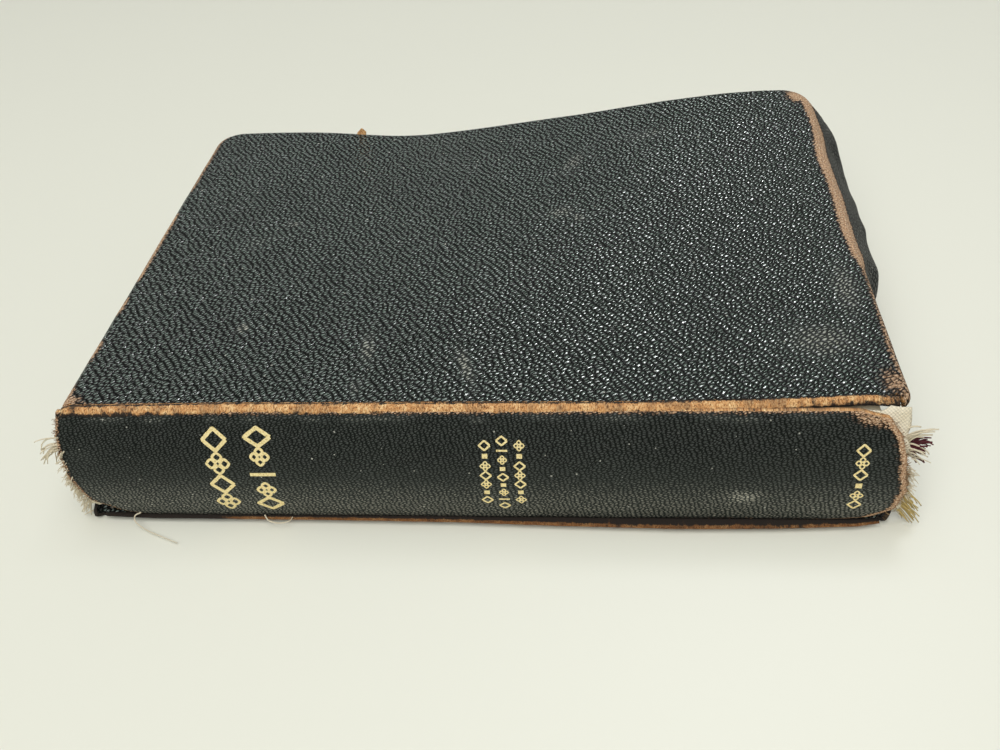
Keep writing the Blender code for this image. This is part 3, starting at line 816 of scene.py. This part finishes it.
def make_spine_leather():
    head = lambda z: follow(LEATHER_HEAD, z) + 0.3 * MM * ripple(z, 0 * z, 1.1 * MM, 51)
    tail = lambda z: follow(LEATHER_TAIL, z) + 0.35 * MM * ripple(z, 0 * z, 1.2 * MM, 52)
    outer, inner = spine_strip(head, tail, 1.5 * MM, THICK - 1.15 * MM, spine_out, LEATHER, 0.7 * MM)
    x, z = outer[..., 0], outer[..., 2]
    lift = 0.22 * MM * ripple(x, 0 * x, 6 * MM, 53) + 0.12 * MM * ripple(x, 0 * x, 1.3 * MM, 54)
    top = smooth((z - THICK + 3 * MM) / (3 * MM))
    bottom = 1 - smooth((z - 1.7 * MM) / (3 * MM))
    for grid in (outer, inner):
        grid[..., 2] += lift * (top + 0.35 * bottom)
    end = np.minimum(x - head(z[:, 0])[:, None], tail(z[:, 0])[:, None] - x)
    worn = 0.66 * np.exp(-((end / (1.1 * MM)) ** 2)) + 0.45 * np.exp(-((end / (3.2 * MM)) ** 2)) * (x > 0)
    worn = np.maximum(worn, 0.62 * bump_at(z, THICK - 1.2 * MM, 0.75 * MM))
    worn = np.maximum(worn, 0.68 * spot(x, z, (94, 30.6), (7.5, 2.2), -12))
    worn = np.maximum(worn, 0.45 * bump_at(z, 1.6 * MM, 0.9 * MM) * smooth((x - 20 * MM) / (40 * MM)))
    # higher towards the bottom of the spine: a painted reflection of the bright table that lightens the
    # lower spine; the spots added to it are real scuffs
    scuff_and_painted_reflection = 0.02 + 0.74 * smooth((25 * MM - z) / (21 * MM)) + 0.9 * spot(x, z, (66, 10.3), (3.4, 1.5))
    patchy = np.clip(0.5 + 1.6 * ripple(x, z, 5 * MM, 55), 0, 1)
    scuff_and_painted_reflection += 0.55 * patchy * bump_at(z, THICK - 2.4 * MM + 0.5 * MM * ripple(x, z, 4 * MM, 56), 0.9 * MM)
    scuff_and_painted_reflection += 0.35 * spot(x, z, (94, 22), (5, 1.2), 25) + 0.3 * spot(x, z, (-99, 22), (3, 2))
    made = shell(
        "spine_goatskin",
        outer,
        inner,
        [SPINE_GOATSKIN, BARE_FIBRE],
        {"lay": lay_of(outer), "worn": worn, "scuff_and_painted_reflection": scuff_and_painted_reflection},
    )
    bend_with_spine(made)
    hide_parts("spine_leather")


def make_linings():
    """The kraft paper and the mull glued over the folds; the mull runs on past the leather at the tail."""
    ends = lambda value: (lambda z: np.full(len(z), value))
    kraft_depth = lambda x, z: spine_face(z) + 1.4 * MM
    head, tail, low, high = ends(-PAGE_HALF), ends(PAGE_HALF), BLOCK_DEPTH, THICK - BLOCK_DEPTH
    lining = spine_strip(head, tail, low, high, kraft_depth, 0.3 * MM, 1.6 * MM)
    made = shell("spine_kraft_lining", *lining, [KRAFT], {"lay": lay_of(lining[0])})
    bend_with_spine(made)
    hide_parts("spine_lining_paper")

    def mull_depth(x, z):
        out = smooth((np.abs(x) - PAGE_HALF + 4 * MM) / (5 * MM))
        crease = 0.55 * MM * ripple(x + 0.7 * z, z * 0.25, 1.7 * MM, 61) * out
        return spine_face(z) + 2.0 * MM - 0.35 * MM * out + crease

    def tail_end(z):
        return 102.0 * MM + 1.1 * MM * ripple(z, 0 * z, 2.5 * MM, 62) + 2.0 * MM * bump_at(z, 7 * MM, 5 * MM)

    head_end = lambda z: -102.2 * MM + 1.2 * MM * ripple(z, 0 * z, 2.5 * MM, 63)
    grids = spine_strip(head_end, tail_end, low, THICK - 2.4 * MM, mull_depth, 0.35 * MM, 1.1 * MM)
    for grid in grids:
        past = smooth((grid[..., 0] - 95 * MM) / (4 * MM))
        grid[..., 2] += 1.5 * MM * past * smooth((grid[..., 2] - THICK + 8 * MM) / (5.6 * MM))
    made = shell("spine_mull_cloth", *grids, [MULL], {"lay": lay_of(grids[0])})
    bend_with_spine(made)
    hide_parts("spine_mull")


def band_silk():
    """Silk wound round a cord core: slanting maroon and cream stripes about half a millimetre wide."""
    made, tree, shader, lay = start("wound_band_silk", 0.6)
    parts = add(tree, "SeparateXYZ", {"Vector": lay})
    along = add(tree, "Math", {0: parts.outputs["X"], 1: 4.4}, operation="MULTIPLY")
    phase = add(tree, "Math", {0: along, 1: parts.outputs["Y"]}, operation="ADD")
    wave = add(tree, "Math", {0: phase}, operation="SINE")
    pick = add(tree, "MapRange", {"Value": wave, "From Min": -0.15, "From Max": 0.15})
    tone = add(
        tree, "Mix", {"Factor": pick, "A": linear("#5a1c26"), "B": linear("#e6dcc4")}, data_type="RGBA"
    )
    rise = add(tree, "Bump", {"Height": wave, "Distance": 0.15 * MM})
    feed(tree, shader, {"Base Color": tone, "Normal": rise})
    return made


def spine_path(x, z_low, z_high, depth, count, sway=0.0, pitch=1.0):
    """A thread's path up the spine at a depth, swaying sideways and in and out at each section it passes."""
    z = np.linspace(z_low, z_high, count)
    turn = z / pitch * 2 * math.pi
    return np.stack([x + sway * np.sin(turn), spine_face(z) + depth + 0.4 * sway * np.cos(turn), z], -1)


def make_sewing():
    pitch = (THICK - 2 * BLOCK_DEPTH) / GATHERINGS
    for i, x in enumerate(np.linspace(-82.5, 82.5, 5) * MM, 1):
        paths = [
            spine_path(x + shift, BLOCK_DEPTH, THICK - BLOCK_DEPTH, 2.95 * MM, 90, 0.16 * MM, pitch)
            for shift in (-0.35 * MM, 0.0, 0.35 * MM)
        ]
        made = tubes(f"kettle_stitches_{i}", paths, [0.13 * MM] * 3, LINEN)
        bend_with_spine(made)
        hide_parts(f"sewing_stitches_{i}")
    silk = band_silk()
    for name, x in (("head_band", -97.8 * MM), ("tail_band", 97.8 * MM)):
        path = spine_path(x, 5.0 * MM, THICK - 5.0 * MM, 4.7 * MM, 60, 0.1 * MM, 2.4 * MM)
        made = tubes(f"{name}_silk", [path], [0.95 * MM], silk, sides=10)
        bend_with_spine(made)
        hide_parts(name)


ROOT_LOWEST, TIP_LOWEST = 0.9, 0.6  # mm above the floor, so that no thread of a tuft goes through it


def arc_path(begin, finish_at, sag, rng, count=9):
    """A short curved thread between two points in millimetres, bowed by sag and a little crooked."""
    begin, finish_at, sag = (np.asarray(v, float) for v in (begin, finish_at, sag))
    t = np.linspace(0, 1, count)[:, None]
    crook = np.cumsum(rng.normal(0, 0.07, (count, 3)), axis=0) * t
    return (begin + (finish_at - begin) * t + 4 * sag * t * (1 - t) + crook) * MM


def tuft(name, finish, body, root, tip, spread_root, spread_tip, sag, radii, count, seed):
    """A frayed tuft in millimetres: threads from around a root to around a tip."""
    rng = np.random.RandomState(seed)
    paths = []
    for _ in range(count):
        start_at = np.asarray(root) + rng.normal(0, 1, 3) * spread_root
        start_at[2] = max(start_at[2], ROOT_LOWEST)
        end_at = start_at + (np.asarray(tip) - root) * rng.uniform(0.65, 1.05)
        end_at += rng.normal(0, 1, 3) * spread_tip
        end_at[2] = max(end_at[2], TIP_LOWEST)
        paths.append(arc_path(start_at, end_at, np.asarray(sag) * rng.uniform(0.3, 1.4), rng))
    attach(tubes(name, paths, rng.uniform(*radii, count) * MM, finish), body)


# Name, finish, body, root, tip, spread at the root and at the tip, sag, thinnest and thickest, and count
TUFTS = (
    ("tail_cream_threads", CREAM_COTTON, "front_block", (101.6, -66.8, 22.5), (107.6, -68, 28.0),
     (0.5, 0.4, 0.9), (0.5, 0.5, 0.5), (-0.9, 0, 1.1), (0.22, 0.36), 8),
    ("tail_maroon_threads", MAROON_SILK, "front_block", (102.4, -66.6, 21.0), (107.4, -67.8, 22.0),
     (0.5, 0.5, 1.0), (0.6, 0.6, 1.6), (0, 0, 0.9), (0.22, 0.34), 44),
    ("tail_white_threads", CREAM_COTTON, "front_block", (102.2, -67.8, 20.5), (108.4, -69.4, 19.0),
     (0.4, 0.3, 1.2), (0.6, 0.4, 1.2), (0, 0, 1.0), (0.18, 0.3), 7),
    ("tail_gold_yarn", OLD_GOLD_YARN, "rear_block", (101.8, -69.3, 8.6), (108.0, -71.6, 3.0),
     (0.5, 0.5, 1.8), (0.6, 0.6, 0.8), (0, 0, 0.9), (0.18, 0.3), 36),
    ("tail_lower_fray", CREAM_COTTON, "rear_block", (103, -69.4, 12), (105.2, -71.0, 10.5),
     (0.4, 0.5, 3.6), (0.5, 0.4, 1.4), (0, 0, 0.3), (0.1, 0.2), 90),
    ("head_cream_threads", CREAM_COTTON, "front_block", (-103.6, -68.2, 24.5), (-109.0, -71.0, 22.5),
     (0.4, 0.4, 2.0), (1.0, 0.7, 1.3), (-0.8, 0, 1.3), (0.2, 0.34), 18),
    ("head_lower_fray", CREAM_COTTON, "rear_block", (-103.4, -70.4, 12.5), (-105.1, -71.6, 10.8),
     (0.5, 0.4, 4.6), (0.5, 0.4, 1.1), (0, 0, 0.2), (0.12, 0.24), 170),
)
# Two threads that trail from the back cover's joint, point by point
LOOSE_END = (
    (-88.6, -73.2, 3.2), (-90.2, -73.9, 2.6), (-90.0, -75.0, 1.2),
    (-86.6, -76.9, 0.4), (-82.0, -78.8, 0.25), (-77.1, -80.8, 0.25),
)
LOOSE_LOOP = (
    (-55.5, -72.9, 2.2), (-54.2, -74.3, 1.7), (-51.5, -75.0, 1.5), (-48.8, -74.4, 1.6), (-48.0, -73.2, 1.9),
)


def make_frays():
    """Threads that have worked loose where the leather has worn back at both ends of the spine."""
    for seed, row in enumerate(TUFTS, 71):
        tuft(*row, seed)
    rng = np.random.RandomState(78)
    for name, ends, away in (("head_edge_fibres", LEATHER_HEAD, -1), ("tail_edge_fibres", LEATHER_TAIL, 1)):
        paths, radii = [], []
        for z in rng.uniform(3, 31.5, 260):
            x = float(follow(ends, z * MM)) / MM
            root = (x - away * 0.5, float(spine_out(x * MM, z * MM)) / MM + 0.35, z)
            tip = np.add(root, (away * rng.uniform(0.5, 1.3), rng.normal(0.1, 0.3), rng.normal(0, 0.5)))
            paths.append(arc_path(root, tip, (0, 0, 0.15), rng, 5))
            radii.append(rng.uniform(0.05, 0.11) * MM)
        made = tubes(name, paths, radii, LEATHER_FRAY, sides=4)
        bend_with_spine(made)
    for name, route in (("loose_end_thread", LOOSE_END), ("loose_loop_thread", LOOSE_LOOP)):
        made = tubes(name, [smoothed(route)], [0.2 * MM], CREAM_COTTON, sides=6)
        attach(made, "back_cover")


def smoothed(route, count=40):
    """A smooth path through points given in millimetres."""
    route = np.asarray(route, float)
    t = np.linspace(0, len(route) - 1, count)
    i = np.clip(t.astype(int), 0, len(route) - 2)
    f = (t - i)[:, None]
    padded = np.vstack([2 * route[0] - route[1], route, 2 * route[-1] - route[-2]])
    a, b, c, d = (padded[i + k] for k in range(4))
    bend = (2 * a - 5 * b + 4 * c - d) * f**2 + (3 * b - a - 3 * c + d) * f**3
    return 0.5 * MM * (2 * b + (c - a) * f + bend)


# ---------------------------------------------------------------- joints
def joint_strip(name, finish, section, drift, thickness, span, worn):
    """A strip of split raw leather along a joint; section is its profile across, in millimetres."""
    x = steps(-HALF_LENGTH + span[0] * MM, HALF_LENGTH - span[1] * MM, 0.45 * MM)
    section = smoothed([(0, *p) for p in section], 14)[:, 1:]
    away = np.gradient(section, axis=0)
    normal = np.stack([-away[:, 1], away[:, 0]], -1)
    normal /= np.linalg.norm(normal, axis=1)[:, None]
    gx = np.repeat(x[None], len(section), axis=0)
    along = np.repeat(np.linspace(0, 1, len(section))[:, None], len(x), axis=1)
    rough = 0.2 * thickness * (ripple(gx, along * 2.4 * MM, 0.8 * MM, 81) + ripple(gx, 0 * gx, 5 * MM, 82))
    profile = section[:, None, :] + normal[:, None, :] * rough[..., None]
    outer = np.concatenate([gx[..., None], profile + drift(gx, along)], -1)
    inner = outer.copy()
    inner[..., 1:] -= normal[:, None, :] * thickness
    lay = np.stack([gx, along * 2.6 * MM, 0 * gx], -1) / MM
    made = shell(name, outer, inner, [finish], {"lay": lay, "worn": worn(gx, along)})
    return made


def make_joints():
    front = [(-65.7, 31.5), (-65.45, 32.3), (-64.7, 33.05), (-63.8, 33.4), (-63.1, 33.2), (-62.6, 32.2)]

    def front_drift(x, along):
        split = smooth((x - 66 * MM) / (16 * MM)) + 0.8 * (1 - smooth((x + 101 * MM) / (6 * MM)))
        shift = split * (1 - along)
        return np.stack([0.5 * MM * shift + follow(FRONT_EDGE, x) - FRONT_LINE, 0.3 * MM * shift], -1)

    def front_worn(x, along):
        ends = smooth((HALF_LENGTH - np.abs(x)) / (30 * MM))
        patch = 0.85 + 0.25 * ripple(x, along, 9 * MM, 83)
        return patch * (0.66 + 0.34 * ends) * bump_at(along, 0.38, 0.28)

    made = joint_strip(
        "front_joint_split_leather", BARE_FIBRE, front, front_drift, 0.6 * MM, (1.5, 3.6), front_worn
    )
    middle = (Vector((0, -65.6, 32.0)) * MM, Vector((0, -63.4, 33.3)) * MM)
    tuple(middle[0])
    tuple(middle[1])
    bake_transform(made)
    back = [(-71.7, 1.2), (-72.2, 1.24), (-72.6, 1.3), (-72.8, 1.24), (-72.65, 1.14), (-72.4, 1.1)]

    def back_drift(x, along):
        lip = (follow(BACK_EDGE, x) - BACK_LINE) * np.sin(math.pi * along) ** 0.8
        return np.stack([lip, 0 * x], -1)

    def back_wear_and_painted_gap_shadow(x, along):
        # near black along the first part of the strip, tucked under the spine: a painted shadow of the gap
        # there; further along, bare fibre
        bare = 0.6 + 0.16 * ripple(x, 0 * x, 14 * MM, 32) + 0.2 * spot(x, 0 * x, (20, 0), (9, 9))
        return 0.05 + bare * smooth((x + 70 * MM) / (8 * MM)) * smooth((along - 0.18) / 0.16)

    made = joint_strip(
        "back_joint_split_leather", GREYED_FIBRE, back, back_drift, 0.15 * MM, (4, 4), back_wear_and_painted_gap_shadow
    )
    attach(made, "back_cover")


# ---------------------------------------------------------------- gold on the spine
def lozenge(width, height):
    return [[(0, -height / 2), (width / 2, 0), (0, height / 2), (-width / 2, 0), (0, -height / 2)]]


def petals(size):
    """Four leaves round a centre, each a pointed loop."""
    strokes = []
    for quarter in range(4):
        turn = quarter * math.pi / 2
        c, s = math.cos(turn), math.sin(turn)
        leaf = []
        for t in np.linspace(0, 1, 11):
            wide = 0.2 * size * math.sin(math.pi * t)
            leaf.append((wide, size * (0.08 + 0.42 * t)))
        leaf += [(-u, v) for u, v in reversed(leaf)]
        strokes.append([(u * c - v * s, u * s + v * c) for u, v in leaf])
    return strokes


def bud(size):
    """A small solid diamond, drawn as one short thick stroke."""
    return [[(0, -size / 2), (0, size / 2)]]


def gold_units(x_centre, tall, z_low, z_high, kinds, stroke):
    """Ornaments set evenly up the spine in one column: lozenges, petals, rules and buds by their initials;
    tall is their size along X."""
    pitch = (z_high - z_low) / len(kinds)
    for i, kind in enumerate(kinds):
        middle = z_low + pitch * (i + 0.5)
        wide = pitch * 0.9
        if kind == "L":
            shapes, width = lozenge(wide, tall), stroke
        elif kind == "P":
            shapes, width = petals(min(wide, tall) * 1.05), stroke * 0.75
        elif kind == "R":
            shapes, width = [[(0, -tall / 2), (0, tall / 2)]], stroke
        else:
            shapes, width = bud(tall * 0.5), min(wide, tall) * 0.5
        for shape in shapes:
            yield [(x_centre - v, middle + u) for u, v in shape], width


GOLD_PROUD, GOLD_SUNK = 0.035, 0.1  # mm that the foil stands out of the leather and goes into it


def make_gold():
    columns = [
        gold_units(-63.7, 6.0, 4.4, 29.2, "PLPL", 0.95),
        gold_units(-52.7, 6.6, 4.4, 29.2, "LPRPL", 0.95),
        gold_units(3.4, 2.7, 7.6, 26.0, "LBPLPBL", 0.46),
        gold_units(7.6, 2.7, 5.6, 27.0, "LRPBLBPRL", 0.46),
        gold_units(11.8, 2.7, 7.6, 26.0, "PBLPLBP", 0.46),
        gold_units(92.2, 3.1, 6.4, 25.2, "LPBLPL", 0.5),
    ]
    points, faces, lay = [], [], []
    for column in columns:
        for shape, width in column:
            line = np.asarray(shape)
            lengths = np.concatenate([[0], np.cumsum(np.linalg.norm(np.diff(line, axis=0), axis=1))])
            at = np.linspace(0, lengths[-1], max(3, int(lengths[-1] / 0.3)))
            line = np.stack([np.interp(at, lengths, line[:, k]) for k in (0, 1)], -1)
            along = np.gradient(line, axis=0)
            along /= np.linalg.norm(along, axis=1)[:, None] + 1e-9
            side = np.stack([-along[:, 1], along[:, 0]], -1) * width / 2
            side *= (1 + 0.1 * ripple(at, at * 0 + lengths[-1], 0.6, 91))[:, None]
            first = len(points)
            for middle, half in zip(line, side):
                for sign, depth in ((1, -GOLD_PROUD), (-1, -GOLD_PROUD), (-1, GOLD_SUNK), (1, GOLD_SUNK)):
                    px, pz = middle + sign * half
                    points.append((px * MM, float(spine_out(px * MM, pz * MM)) + depth * MM, pz * MM))
                    lay.append((px, pz, 0))
            for i in range(len(line) - 1):
                a = first + 4 * i
                for j in range(4):
                    k = (j + 1) % 4
                    faces.append((a + j, a + 4 + j, a + 4 + k, a + k))
            last = first + 4 * (len(line) - 1)
            faces += [(first, first + 1, first + 2, first + 3), (last + 3, last + 2, last + 1, last)]
    made = new_mesh("spine_gold_ornaments", points, faces, [GOLD], {"lay": lay})
    made.data.polygons.foreach_set("use_smooth", [False] * len(made.data.polygons))
    bend_with_spine(made)


# ---------------------------------------------------------------- pages
def block_level(share, x, y):
    return BLOCK_DEPTH + (front_height(x, y) - 2 * BLOCK_DEPTH) * share


LEAVES_DRAWN = 7  # steps in a section's edge: its real leaves are too thin to show one by one


def make_gathering(number):
    """One folded section: page faces above and below, and a stepped edge of leaves all round."""
    share = 1 - (number - 0.5) / GATHERINGS
    box_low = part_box(f"gathering_{number:02d}")[0]
    thinnest = (THICK - EDGE_DIP - 2 * BLOCK_DEPTH) / GATHERINGS - 0.07 * MM
    half = thinnest / 2
    x = np.concatenate([
        steps(-PAGE_HALF, -PAGE_HALF + PAGE_CORNER, 1.2 * MM)[:-1],
        steps(-PAGE_HALF + PAGE_CORNER, PAGE_HALF - PAGE_CORNER, 5 * MM),
        steps(PAGE_HALF - PAGE_CORNER, PAGE_HALF, 1.2 * MM)[1:],
    ])
    inside = np.clip(PAGE_CORNER - (PAGE_HALF - np.abs(x)), 0, PAGE_CORNER)
    cut = PAGE_CORNER - np.sqrt(np.maximum(PAGE_CORNER**2 - inside**2, 0))
    rng = np.random.RandomState(100 + number)
    layers = LEAVES_DRAWN
    v = np.concatenate([[0], np.linspace(0.02, 1, 27)])
    points, slots, lay = [], [], []
    for layer in range(layers + 1):
        level = (layer / layers - 0.5) * 2 * half * 0.97
        bulge = 0.45 * half * (1 - abs(level / half) ** 2)
        out = 0.09 * MM * rng.uniform(-1, 0.3)
        low = box_low.y + 0.9 * half - bulge
        high = box_low.y + PAGE_WIDTH - cut + out - 0.05 * MM
        gy = low + (high - low)[:, None] * v[None]
        gx = np.repeat((x * (1 + out / PAGE_HALF))[:, None], len(v), axis=1)
        gz = block_level(share, gx, gy) + level
        points.append(np.stack([gx, gy, gz], -1))
    rows, columns = len(x), len(v)
    index = np.arange(rows * columns).reshape(rows, columns)
    rim = np.concatenate([index[0], index[1:, -1], index[-1, -2::-1], index[-2:0:-1, 0]])
    used, faces = [points[0].reshape(-1, 3)], [grid_faces(rows, columns)[:, ::1]]
    slots.append(np.zeros(len(faces[0])))
    offset = rows * columns
    previous = rim
    for layer in range(1, layers):
        current = offset + np.arange(len(rim))
        used.append(points[layer].reshape(-1, 3)[rim])
        faces.append(np.stack([np.roll(previous, -1), previous, current, np.roll(current, -1)], -1)[:, ::-1])
        slots.append(np.ones(len(rim)))
        offset += len(rim)
        previous = current
    used.append(points[-1].reshape(-1, 3))
    current = offset + rim
    faces.append(np.stack([np.roll(previous, -1), previous, current, np.roll(current, -1)], -1)[:, ::-1])
    slots.append(np.ones(len(rim)))
    faces.append(grid_faces(rows, columns)[:, ::-1] + offset)
    slots.append(np.zeros(rows * columns - rows - columns + 1))
    used = np.concatenate(used)
    lay = np.stack([used[:, 0], used[:, 1] - box_low.y, used[:, 2]], -1) / MM
    made = new_mesh(
        f"section_{number:02d}_leaves",
        used,
        np.concatenate(faces),
        [PRINTED, EDGES],
        {"lay": lay},
        np.concatenate(slots),
    )
    made.data.polygons.foreach_set("use_smooth", [False] * len(made.data.polygons))
    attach(made, "front_block" if number <= FRONT_GATHERINGS else "rear_block")
    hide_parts(f"gathering_{number:02d}")


def make_flyleaf(node, body, height, depth, side, seed):
    """A free endpaper leaf with a slow wave; its hinge edge stays straight."""
    low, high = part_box(node)
    x, y = steps(low.x, high.x, 3 * MM), steps(low.y, high.y, 3 * MM)
    gx, gy = np.meshgrid(x, y)
    free = smooth((gy - low.y) / (30 * MM))
    trim = np.clip(np.abs(gx) - high.x + PAGE_CORNER, 0, PAGE_CORNER)
    corner = PAGE_CORNER - np.sqrt(np.maximum(PAGE_CORNER**2 - trim**2, 0))
    gy = np.minimum(gy, high.y - corner)
    wave = 0.07 * MM * ripple(gx, gy, 28 * MM, seed) * free
    level = height(gx, gy) - side * (depth + 0.03 * MM) + wave
    top = np.stack([gx, gy, level], -1)
    under = np.stack([gx, gy, level - side * 0.2 * MM], -1)
    if side < 0:
        top, under = under, top
    lay = np.stack([gx, gy - low.y, 0 * gx], -1) / MM
    made = shell(f"{node}_rag_paper", top, under, [ENDPAPER], {"lay": lay})
    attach(made, body)
    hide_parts(node)


def dress(node, finish):
    """Give a node that keeps its own shape its finish."""
    bpy.data.objects[node].data.materials.clear()
    bpy.data.objects[node].data.materials.append(finish)


make_spine_leather()
make_linings()
make_sewing()
make_frays()
make_joints()
make_gold()
for section in range(1, GATHERINGS + 1):
    make_gathering(section)
make_flyleaf("front_flyleaf", "front_flyleaf", front_height, 3.0 * MM, 1, 201)
make_flyleaf("back_flyleaf", "back_flyleaf", lambda x, y: 0 * x, 3.27 * MM, -1, 202)
for cover in ("front", "back"):
    dress(f"{cover}_cover_board", BOARD_CARD)
    dress(f"{cover}_pastedown", PASTED)


# ---------------------------------------------------------------- camera, floor and light
CAMERA_AT = Vector((27.1, -218.2, 183.2)) * MM
CAMERA_AZIMUTH, CAMERA_ELEVATION, CAMERA_ROLL = 7.02, 42.09, -5.05  # degrees
LENS = 32.6  # mm, on a sensor 36 mm wide

camera_data = bpy.data.cameras.new("camera")
camera_data.lens, camera_data.sensor_width = LENS, 36
camera_data.clip_start, camera_data.clip_end = 0.005, 20
camera = bpy.data.objects.new("camera", camera_data)
bpy.context.scene.collection.objects.link(camera)
azimuth, elevation = math.radians(CAMERA_AZIMUTH), math.radians(CAMERA_ELEVATION)
level = math.cos(elevation)
backward = Vector((math.sin(azimuth) * level, -math.cos(azimuth) * level, math.sin(elevation)))
aim = backward.to_track_quat("Z", "Y").to_matrix().to_4x4()
roll = Matrix.Rotation(math.radians(CAMERA_ROLL), 4, "Z")
camera.matrix_world = Matrix.Translation(CAMERA_AT) @ aim @ roll
bpy.context.scene.camera = camera

FLOOR_REACH, FLOOR_DROP = 9.0, 0.0004  # metres from the middle to a side, and below the object
floor_material, _, floor_shader, _ = start("pale_table_top", 0.55)
floor_shader.inputs["Base Color"].default_value = linear("#e3e3d7")
floor = new_mesh(
    "table_top",
    [(x * FLOOR_REACH, y * FLOOR_REACH, -FLOOR_DROP) for x, y in ((-1, -1), (1, -1), (1, 1), (-1, 1))],
    [(0, 1, 2, 3)],
    [floor_material],
)


def soft_light(name, place, size, power, colour):
    """A square lamp aimed at the middle of the object: metres and watts."""
    data = bpy.data.lights.new(name, "AREA")
    data.shape, data.size, data.energy = "SQUARE", size, power
    data.color = linear(colour)[:3]
    made = bpy.data.objects.new(name, data)
    bpy.context.scene.collection.objects.link(made)
    made.location = place
    made.rotation_euler = (-Vector(place)).to_track_quat("-Z", "Y").to_euler()
    return made


soft_light("ceiling_front", (-0.15, -0.95, 1.5), 1.8, 26, "#fffefa")
soft_light("ceiling_above", (0.0, 0.35, 1.6), 1.3, 8, "#fbfdff")
gloss = soft_light("window_behind", (0.42, 0.8, 1.5), 0.3, 16, "#fbfdff")
gloss.visible_diffuse = False
world = bpy.data.worlds.new("room")
world.use_nodes = True
room = world.node_tree
way = add(room, "SeparateXYZ", {"Vector": add(room, "TexCoord").outputs["Generated"]})
high = add(room, "MapRange", {"Value": way.outputs["Z"], "From Min": 0.35, "From Max": 0.75})
behind = add(
    room, "MapRange", {"Value": way.outputs["Y"], "From Min": -0.2, "From Max": 0.6, "To Max": 0.7}
)
lit = add(room, "Math", {0: high, 1: behind}, operation="MAXIMUM")
tone = add(room, "Mix", {"Factor": lit, "A": linear("#6a6d69"), "B": linear("#eef0ea")}, data_type="RGBA")
feed(room, room.nodes["Background"], {"Color": tone, "Strength": 0.41})
bpy.context.scene.world = world
bpy.context.scene.view_settings.view_transform = "Standard"
